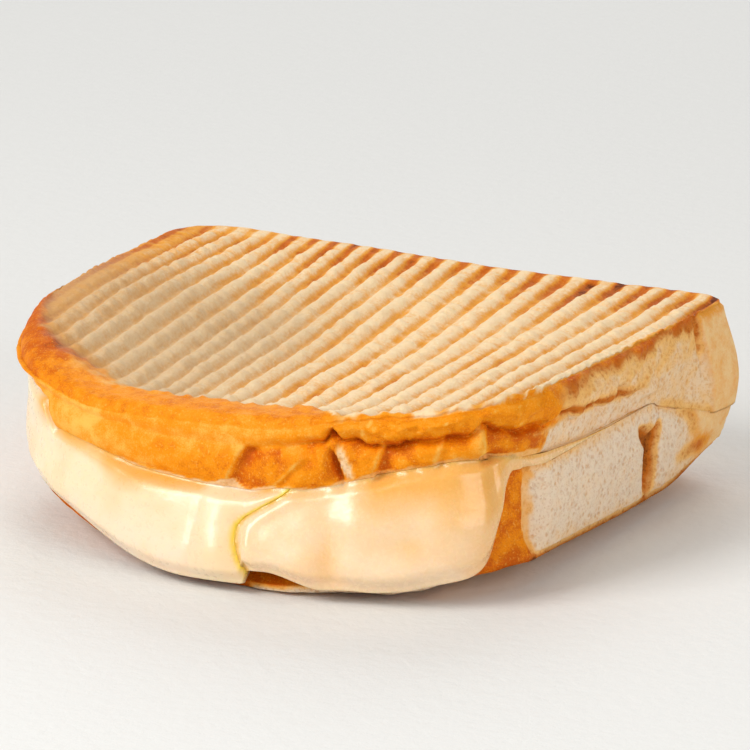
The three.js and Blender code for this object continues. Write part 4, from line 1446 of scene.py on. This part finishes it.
@dataclass
class Cheese:
    """Both sheets of melted cheese: the layer between the slices and the apron that hangs.

    Reach is how far the apron stands out, lip height how far over the slice's foot it ends,
    and thickness how thick it is there. Middle is where the rings of the faces close.
    """

    top: TopSlice
    bottom: BottomSlice
    lumps: tuple[Dent, ...] = (
        Dent(30.3, 9.0, 2.6, 5.5, 1.3, -0.1),
        Dent(37.0, 16.5, 7.0, 3.2, -1.0),
        Dent(25.0, 15.0, 3.5, 3.2, -0.5),
        Dent(20.0, 9.5, 4.0, 5.0, 0.35),
        Dent(49.5, 17.0, 4.0, 2.8, -0.6),
        Dent(43.5, 12.5, 3.5, 2.5, 0.5),
        Dent(42.0, 7.0, 6.0, 3.5, -0.6),
        Dent(-10.0, 15.5, 12.0, 2.6, -0.8),
        Dent(-8.0, 9.5, 12.0, 3.0, 0.5),
        Dent(8.0, 11.0, 3.6, 9.0, -0.7),
        Dent(3.4, 11.0, 0.9, 8.0, 0.35, 0.08),
    )
    clearance: float = -0.1
    segments: int = 640
    seam_gap: float = 0.08
    reach_left: float = 1.2
    reach_right: float = 5.4
    lip_height: float = 1.9
    notch_depth: float = 2.7
    middle: tuple[float, float] = (0.0, -8.0)
    face_share: float = 0.7  # of the layer's half thickness, which keeps the faces off the bread
    stand_off: float = 0.7
    thickness: float = 1.9
    ring_plan: tuple[tuple[Stretch, int], ...] = (
        (Stretch.UPPER, 10),
        (Stretch.RISE, 9),
        (Stretch.OUTER, 48),
        (Stretch.LIP, 5),
        (Stretch.INNER, 14),
        (Stretch.UNDER, 10),
    )

    @property
    def levels(self) -> Levels:
        """Heights that the slices share."""
        return self.top.levels

    @property
    def plan(self) -> Plan:
        """Outline of the slices."""
        return self.top.plan

    def dress(self, move: Array) -> None:
        """Makes both sheets and gives each its finish and its place."""
        left, right = self.sheets()
        left.dress(move, cheese_material(PALE_CHEESE), Slot.PALE, "cheese_left")
        right.dress(move, cheese_material(AMBER_CHEESE), Slot.AMBER, "cheese_right")

    def seam_x(self, height: Array) -> Array:
        """Where the seam between the sheets lies at a height."""
        low = mix(15.5, 12.0, smooth(1.0, 12.0, height))
        return low + 10.0 * smooth(12.5, 21.5, height)

    def outline(self) -> tuple[Array, Array, Array, Array]:
        """Places round the slices' outline at even steps, with their normals."""
        dense = mix(self.plan.left, self.plan.right, eased(np.linspace(0, 1, 2001), 0.1, 0.04))
        x = np.concatenate([dense, dense[::-1]])
        y = np.concatenate([self.plan.front_edge(dense), self.plan.back_edge(dense[::-1])])
        length = np.concatenate([[0.0], np.cumsum(np.hypot(np.diff(x), np.diff(y)))])
        total = length[-1] + math.hypot(x[0] - x[-1], y[0] - y[-1])
        steps = np.arange(self.segments) * total / self.segments
        ring_x = np.interp(steps, np.append(length, total), np.append(x, x[0]))
        ring_y = np.interp(steps, np.append(length, total), np.append(y, y[0]))
        nx = np.roll(ring_y, -1) - np.roll(ring_y, 1)
        ny = np.roll(ring_x, 1) - np.roll(ring_x, -1)
        size = np.hypot(nx, ny)
        return ring_x, ring_y, nx / size, ny / size

    def apron(self, x: Array, share: float) -> Array:
        """How far the apron stands out, from its top at 0 to its lip at 1."""
        reach = mix(self.reach_right, self.reach_left, smooth(4, -36, x))
        belly = math.sin(math.pi / 2 * min(1.0, share / 0.8)) ** 1.5
        return 1.1 * smooth(0, 0.12, share) + reach * belly - 1.6 * smooth(0.82, 1, share)

    def lip(self, x: Array, y: Array) -> Array:
        """Height of the apron's lower lip, with the notch in it."""
        notch = self.notch_depth * smooth(13.3, 14.2, x) * smooth(28.5, 17.5, x)
        ragged = 0.35 * flat_noise(x, y, 4.0, 4.0, 61) * smooth(20, 30, x)
        return self.levels.base(x, y) + self.lip_height + notch + 0.6 * smooth(0, -30, x) + ragged

    def tier(self, x: Array, y: Array, height: Array) -> Array:
        """How far the upper slice's wall stands out at a height."""
        rim, foot = self.top.rim(x, y), self.levels.cheese(x, y) + 1.0
        level = self.top.skirt * (rim - height) / (rim - foot)
        return self.top.wall(x, y, np.clip(level, 0.06, self.top.skirt), rim, foot)[0]

    def start(self, brink: Brink) -> Array:
        """How far the apron's head stands out, against the upper slice."""
        return self.beside(brink, self.levels.head(brink.x, brink.y))

    def beside(self, brink: Brink, height: Array) -> Array:
        """How far the cheese stands out where it lies against the upper slice at a height."""
        return self.tier(brink.x, brink.y, height) + self.clearance + brink.pinch

    def face(self, x: Array, y: Array, share: float, side: float) -> Array:
        """Places on the layer's upper or lower face, between the slices.

        Args:
            x, y: places on the outline.
            share: 0 at the middle and 1 at the outline.
            side: 1 on the upper face and -1 on the lower.

        Returns:
            (n, 3) places.
        """
        spot_x, spot_y = mix(self.middle[0], x, share), mix(self.middle[1], y, share)
        half = self.face_share * self.levels.half_layer(spot_x, spot_y)
        return stacked(spot_x, spot_y, self.levels.cheese(spot_x, spot_y) + side * half)

    def rise(self, brink: Brink, share: float) -> Array:
        """Places on the rise from the layer to the apron's head."""
        low = self.levels.cheese(brink.x, brink.y) + 0.8 * brink.half
        head = self.levels.head(brink.x, brink.y)
        height = mix(low, head, smooth(0.0, 1.0, share) * brink.spread)
        against = mix(-0.9, self.beside(brink, height), min(3.0 * share, 1.0))
        offset = mix(-brink.inset, against, brink.spread) - brink.pinch
        return stacked(*brink.out(offset), height)

    def outer(self, brink: Brink, share: float) -> Array:
        """Places on the outside, from the apron's head or the layer's upper edge down."""
        bulge, start = math.sin(math.pi * share), self.start(brink)
        edge = 0.7 * bulge * mix(1, 0.3, brink.sealed) - brink.inset
        edge = mix(edge, 0.3 + 0.12 * bulge, brink.film * smooth(2, -12, brink.y))
        hung = (start - self.stand_off) * smooth(0.1, 0, share) + self.stand_off * smooth(0.4, 0, share)
        hung = mix(start, hung + self.apron(brink.x, share), brink.drop)
        spot_x, spot_y = brink.out(mix(edge, hung, brink.spread) - brink.pinch)
        top = self.levels.cheese(spot_x, spot_y) + brink.half
        top = mix(top, self.levels.head(brink.x, brink.y), brink.spread)
        height = mix(top, self.lowest(brink, spot_x, spot_y), share)
        relief = self.relief(brink.x, stacked(spot_x, spot_y, height))
        relief *= brink.drop * smooth(0, 0.16, share) * smooth(1.0, 0.88, share)
        return stacked(spot_x + brink.nx * relief, spot_y + brink.ny * relief, height)

    def relief(self, x: Array, points: Array) -> Array:
        """How far the lumps, the soft waves and the seam's groove stand out on the apron."""
        height = points[:, 2]
        seam = self.seam_x(height)
        relief = sum(-lump.at(x, height) for lump in self.lumps)
        relief += 0.45 * noise(points, (14.0, 14.0, 9.0), 62) + 0.2 * noise(points, (5.0, 5.0, 4.0), 63)
        groove = 0.35 * bump(x, seam, 0.8) + 0.3 * bump(x, seam, 2.4)
        return relief - groove + 0.5 * bump(x, seam + 2.6, 1.6)

    def turned(self, brink: Brink, share: float) -> Array:
        """Places round the lower lip, from the outside to the inside."""
        lip = self.apron(brink.x, 1.0)
        outside = mix(-brink.inset, mix(self.start(brink), lip, brink.drop), brink.spread)
        inside = mix(-brink.inner_inset, mix(-1.0, lip - self.thickness, brink.drop), brink.spread)
        offset = mix(outside, inside, math.sin(math.pi / 2 * share)) - brink.pinch
        spot_x, spot_y = brink.out(offset)
        sag = 0.35 * brink.drop * math.sin(math.pi * share)
        return stacked(spot_x, spot_y, self.lowest(brink, spot_x, spot_y) - sag)

    def inner(self, brink: Brink, share: float) -> Array:
        """Places on the inside, against the lower slice."""
        inner_top = self.stand_off - 2.2 - brink.pinch
        inner_foot = self.stand_off + self.bottom.wall(brink.x, brink.y, np.full_like(brink.x, 0.9))
        inner = mix(inner_top, inner_foot, smooth(0.55, 0.9, share))
        plain = -brink.inner_inset - (0.9 - share) * 3.0 - brink.pinch
        spot_x, spot_y = brink.out(mix(plain, mix(inner_top, inner, brink.drop), brink.spread))
        under = self.levels.cheese(spot_x, spot_y) - brink.half
        return stacked(spot_x, spot_y, mix(under, self.lowest(brink, spot_x, spot_y), share * brink.drop))

    def lowest(self, brink: Brink, spot_x: Array, spot_y: Array) -> Array:
        """Height of the lip where the cheese hangs, and of the layer's lower face elsewhere."""
        under = self.levels.cheese(spot_x, spot_y) - brink.half
        return mix(under, self.lip(brink.x, brink.y), brink.drop)

    def skin(self, stretch: Stretch, brink: Brink, share: float) -> Array:
        """Places of one ring of the cheese's skin."""
        if stretch in (Stretch.UPPER, Stretch.UNDER):
            return self.face(brink.x, brink.y, share, 1.0 if stretch is Stretch.UPPER else -1.0)
        rings = {
            Stretch.RISE: self.rise,
            Stretch.OUTER: self.outer,
            Stretch.LIP: self.turned,
            Stretch.INNER: self.inner,
        }
        return rings[stretch](brink, share)

    def shares(self) -> list[tuple[Stretch, float]]:
        """Every ring of the skin: its stretch and how far along that it lies."""
        spaced: dict[Stretch, Callable[[int, int], float]] = {
            Stretch.UPPER: lambda index, count: 0.95 * (index + 1) / count,
            Stretch.RISE: lambda index, count: index / count,
            Stretch.OUTER: lambda index, count: (index / (count - 1)) ** 1.15,
            Stretch.LIP: lambda index, count: (index + 1) / count,
            Stretch.INNER: lambda index, count: 0.9 * (1 - index / (count - 1)),
            Stretch.UNDER: lambda index, count: 0.94 * (1 - index / count),
        }
        return [(part, spaced[part](ring, count)) for part, count in self.ring_plan for ring in range(count)]

    def whole(self) -> tuple[bpy.types.Mesh, Array, Array, Array]:
        """The cheese before the seam parts it.

        Returns:
            The mesh, its points, each vertex's outline x, and how far down the apron it lies.
        """
        shares = self.shares()
        rings = len(shares)
        form = bmesh.new()
        bmesh.ops.create_uvsphere(form, u_segments=self.segments, v_segments=rings + 1, radius=1.0)
        mesh = as_mesh(form, "cheese")
        unit = coordinates(mesh)
        polar = np.arccos(np.clip(unit[:, 2], -1, 1)) / math.pi * (rings + 1)
        row = np.clip(np.round(polar).astype(int), 0, rings + 1)
        turn = np.arctan2(unit[:, 1], unit[:, 0]) / (2 * math.pi)
        column = np.round((turn + 1.0) * self.segments).astype(int) % self.segments
        ring_x, ring_y, ring_nx, ring_ny = self.outline()
        x, y, nx, ny = ring_x[column], ring_y[column], ring_nx[column], ring_ny[column]
        points = np.zeros_like(unit)
        down = np.zeros(len(unit))
        for index, (stretch, share) in enumerate(shares, start=1):
            chosen = row == index
            brink = Brink(self.levels, x[chosen], y[chosen], nx[chosen], ny[chosen])
            points[chosen] = self.skin(stretch, brink, share)
            depths = {Stretch.OUTER: share, Stretch.LIP: 1.0, Stretch.INNER: share}
            down[chosen] = depths.get(stretch, 0.0)
        middle = self.face(np.zeros(1), np.zeros(1), 0.0, 1.0)[0]
        points[row == 0] = middle
        points[row == rings + 1] = (middle[0], middle[1], middle[2] - 1.4 * self.levels.layer_half)
        return mesh, points, x, down

    def sheets(self) -> list[Piece]:
        """The two sheets, parted along the seam."""
        mesh, points, outline_x, down = self.whole()
        for name, values in {"outline_x": outline_x, "down": down}.items():
            mesh.attributes.new(name, "FLOAT", "POINT").data.foreach_set("value", values.astype(np.float32))
        warped = points.copy()
        warped[:, 0] -= self.seam_x(points[:, 2])
        mesh.vertices.foreach_set("co", warped.astype(np.float32).ravel())
        made = []
        for name, side in (("cheese_left_melt", -1.0), ("cheese_right_melt", 1.0)):
            form = bmesh.new()
            form.from_mesh(mesh)
            geometry = [*form.verts, *form.edges, *form.faces]
            bmesh.ops.bisect_plane(
                form,
                geom=geometry,
                dist=1e-5,
                plane_co=(side * self.seam_gap / 2, 0.0, 0.0),
                plane_no=(-side, 0.0, 0.0),
                clear_outer=True,
            )
            rim = [e for e in form.edges if e.is_boundary]
            cap = bmesh.ops.holes_fill(form, edges=rim, sides=0)["faces"]
            bmesh.ops.triangulate(form, faces=cap)
            bmesh.ops.recalc_face_normals(form, faces=form.faces)
            sheet = as_mesh(form, name)
            places = coordinates(sheet)
            places[:, 0] += self.seam_x(places[:, 2])
            kept = []
            for layer in ("outline_x", "down"):
                values = np.zeros(len(places), np.float32)
                sheet.attributes[layer].data.foreach_get("value", values)
                sheet.attributes.remove(sheet.attributes[layer])
                kept.append(values.astype(float))
            paint = self.paint_left if side < 0 else self.paint_right
            masks = paint(*kept, places)
            places[:, 0] = self.plan.splayed(places[:, 0], places[:, 1])
            made.append(Piece(name, sheet, places, masks))
        bpy.data.meshes.remove(mesh)
        return made

    def paint_left(self, x: Array, down: Array, points: Array) -> Masks:
        """Masks of the pale sheet: yellow at the seam and stained under the crust."""
        height = points[:, 2]
        seam = smooth(1.5, 0.4, self.seam_x(height) - x)
        soft = 0.16 * smooth(9, 1, self.seam_x(height) - x)
        wide = mix(0.16, 0.34, bump(x, -14, 12)) + 0.06 * noise(points, 8.0, 71)
        stain = smooth(wide, 0.0, down) * smooth(-38, -30, x) * smooth(5.5, 2.5, x)
        wedge = bump(x, 17.0, 4.0) * smooth(0.09, 0.0, down)
        climbed = 0.9 * bump(x, -36.0, 2.6) * smooth(20, 27, height)
        amber = 0.05 + soft + 0.9 * stain + climbed + 0.8 * wedge
        # The lower blush is partly pinkish tone and partly painted light bounced up from the floor.
        return {"amber": amber, "deep": seam, "blush": smooth(15, 6, height) * smooth(8, 2, x)}

    def paint_right(self, x: Array, down: Array, points: Array) -> Masks:
        """Masks of the amber sheet: deeper at its top, with painted shade in its hollow."""
        height = points[:, 2]
        # Painted shade: amber deepened in the apron's soft hollow.
        hollow = Dent(30.0, 9.0, 2.2, 6.0, 1.0, -0.1).at(x, height)
        tint = Dent(51.5, 19.5, 4.0, 3.5, 1.0).at(x, height)
        tint = tint + 0.5 * Dent(44.0, 12.0, 3.0, 2.5, 1.0).at(x, height)
        amber = 0.1 + 0.95 * smooth(0.42, 0.06, down) * smooth(32, 40, x)
        amber += 0.45 * smooth(0.16, 0.0, down) * smooth(-36, -44, points[:, 1])
        amber += 0.4 * hollow + 0.5 * tint + 0.45 * smooth(50, 56, x)
        seam = smooth(0.9, 0.25, x - self.seam_x(height))
        # The lower blush is partly pinkish tone and partly painted light bounced up from the floor.
        return {"amber": amber, "deep": np.maximum(0.8 * seam, 0.2 * tint), "blush": smooth(19, 7, height)}


# --------------------------------------------------------------------------- stage


def aimed(made: bpy.types.Object, place: Vector, towards: Vector) -> bpy.types.Object:
    """The same lamp or camera, at a place and turned towards a direction."""
    made.location = place
    made.rotation_mode = "QUATERNION"
    made.rotation_quaternion = towards.to_track_quat("-Z", "Y")
    return made


@dataclass(frozen=True)
class Lamp:
    """A square light that faces the object: metres and watts."""

    name: str
    place: Place
    size: float
    power: float
    colour: Colour

    def hang(self) -> None:
        """Puts the light in the scene."""
        data = bpy.data.lights.new(self.name, "AREA")
        data.energy, data.size, data.color = self.power, self.size, self.colour
        aimed(in_scene(self.name, data), Vector(self.place), -Vector(self.place))


@dataclass(frozen=True)
class Stage:
    """Camera, floor and lights."""

    azimuth: float = 26.1
    elevation: float = 16.0
    distance: float = 1000.0
    focal_pixels: float = 5083.7
    principal: tuple[float, float] = (347.2, 396.8)
    image: float = 750.0
    target: Place = (0.0, 0.0, 18.0)
    sensor: float = 36.0
    lamps: tuple[Lamp, ...] = (
        Lamp("window", (-0.45, -0.62, 0.62), 0.45, 5.7, (1.0, 0.98, 0.95)),
        Lamp("strip", (-0.42, -0.84, 0.36), 0.2, 1.1, (1.0, 1.0, 1.0)),
        Lamp("fill", (0.75, -0.35, 0.35), 0.5, 2.4, (1.0, 0.99, 0.97)),
        Lamp("sky", (-0.4, 1.5, 1.1), 1.2, 13.0, (1.0, 1.0, 1.0)),
    )

    def camera(self, move: Array) -> None:
        """The camera at the photograph's angle, slid sideways instead of shifted."""
        a, e = math.radians(self.azimuth), math.radians(self.elevation)
        back = Vector((math.sin(a) * math.cos(e), -math.cos(a) * math.cos(e), math.sin(e)))
        right = Vector((math.cos(a), math.sin(a), 0.0))
        up = back.cross(right)
        middle = self.image / 2
        across = (middle - self.principal[0]) / self.focal_pixels * self.distance
        upward = (self.principal[1] - middle) / self.focal_pixels * self.distance
        spot = Vector(self.target) + Vector(move) + back * self.distance + right * across + up * upward
        data = bpy.data.cameras.new("camera")
        data.sensor_width = self.sensor
        data.lens = self.focal_pixels / self.image * self.sensor
        data.clip_start, data.clip_end = 0.05, 10.0
        bpy.context.scene.camera = aimed(in_scene("camera", data), spot * MM, -back)

    def floor(self) -> None:
        """A pale floor of rough paper."""
        form = bmesh.new()
        bmesh.ops.create_grid(form, x_segments=1, y_segments=1, size=3.0)
        floor = in_scene("floor", as_mesh(form, "floor"))
        material, wires = new_material("floor_paper")
        weave = wires.grain(wires.place(), 320.0, 4.0)
        wires.surface(
            {
                "Base Color": PAPER,
                "Roughness": 0.9,
                "Specular IOR Level": 0.2,
                "Normal": wires.relief(weave, 0.35, 0.0008),
            }
        )
        floor.data.materials.append(material)

    def light(self) -> None:
        """Plain soft studio light: a pale room and the lamps."""
        world = bpy.data.worlds.new("room")
        bpy.context.scene.world = world
        world.use_nodes = True
        background = world.node_tree.nodes["Background"]
        background.inputs["Color"].default_value = (1.0, 0.995, 0.98, 1.0)
        background.inputs["Strength"].default_value = 0.42
        for lamp in self.lamps:
            lamp.hang()
        bpy.context.scene.view_settings.view_transform = "Standard"


def main() -> None:
    """Builds the sandwich round the frame."""
    logging.basicConfig(level=logging.INFO, format="%(name)s %(message)s")
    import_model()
    levels, ridges = Levels(), Ridges()
    top = TopSlice(SliceGrid(220, 200, 48), levels, ridges)
    bottom = BottomSlice(SliceGrid(210, 176, 42), levels, ridges)
    cheese = Cheese(top, bottom)

    bread = top.make()
    low, high = (np.array(corner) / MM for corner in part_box("top_slice"))
    own_low, own_high = bread.points.min(0), bread.points.max(0)
    move = (low + high) / 2 - (own_low + own_high) / 2
    move[2] = 0.0

    stage = Stage()
    stage.camera(move)
    stage.floor()
    stage.light()
    top.dress(bread, move)
    bottom.dress(bottom.make(), move)
    cheese.dress(move)


if __name__ == "__main__":
    main()
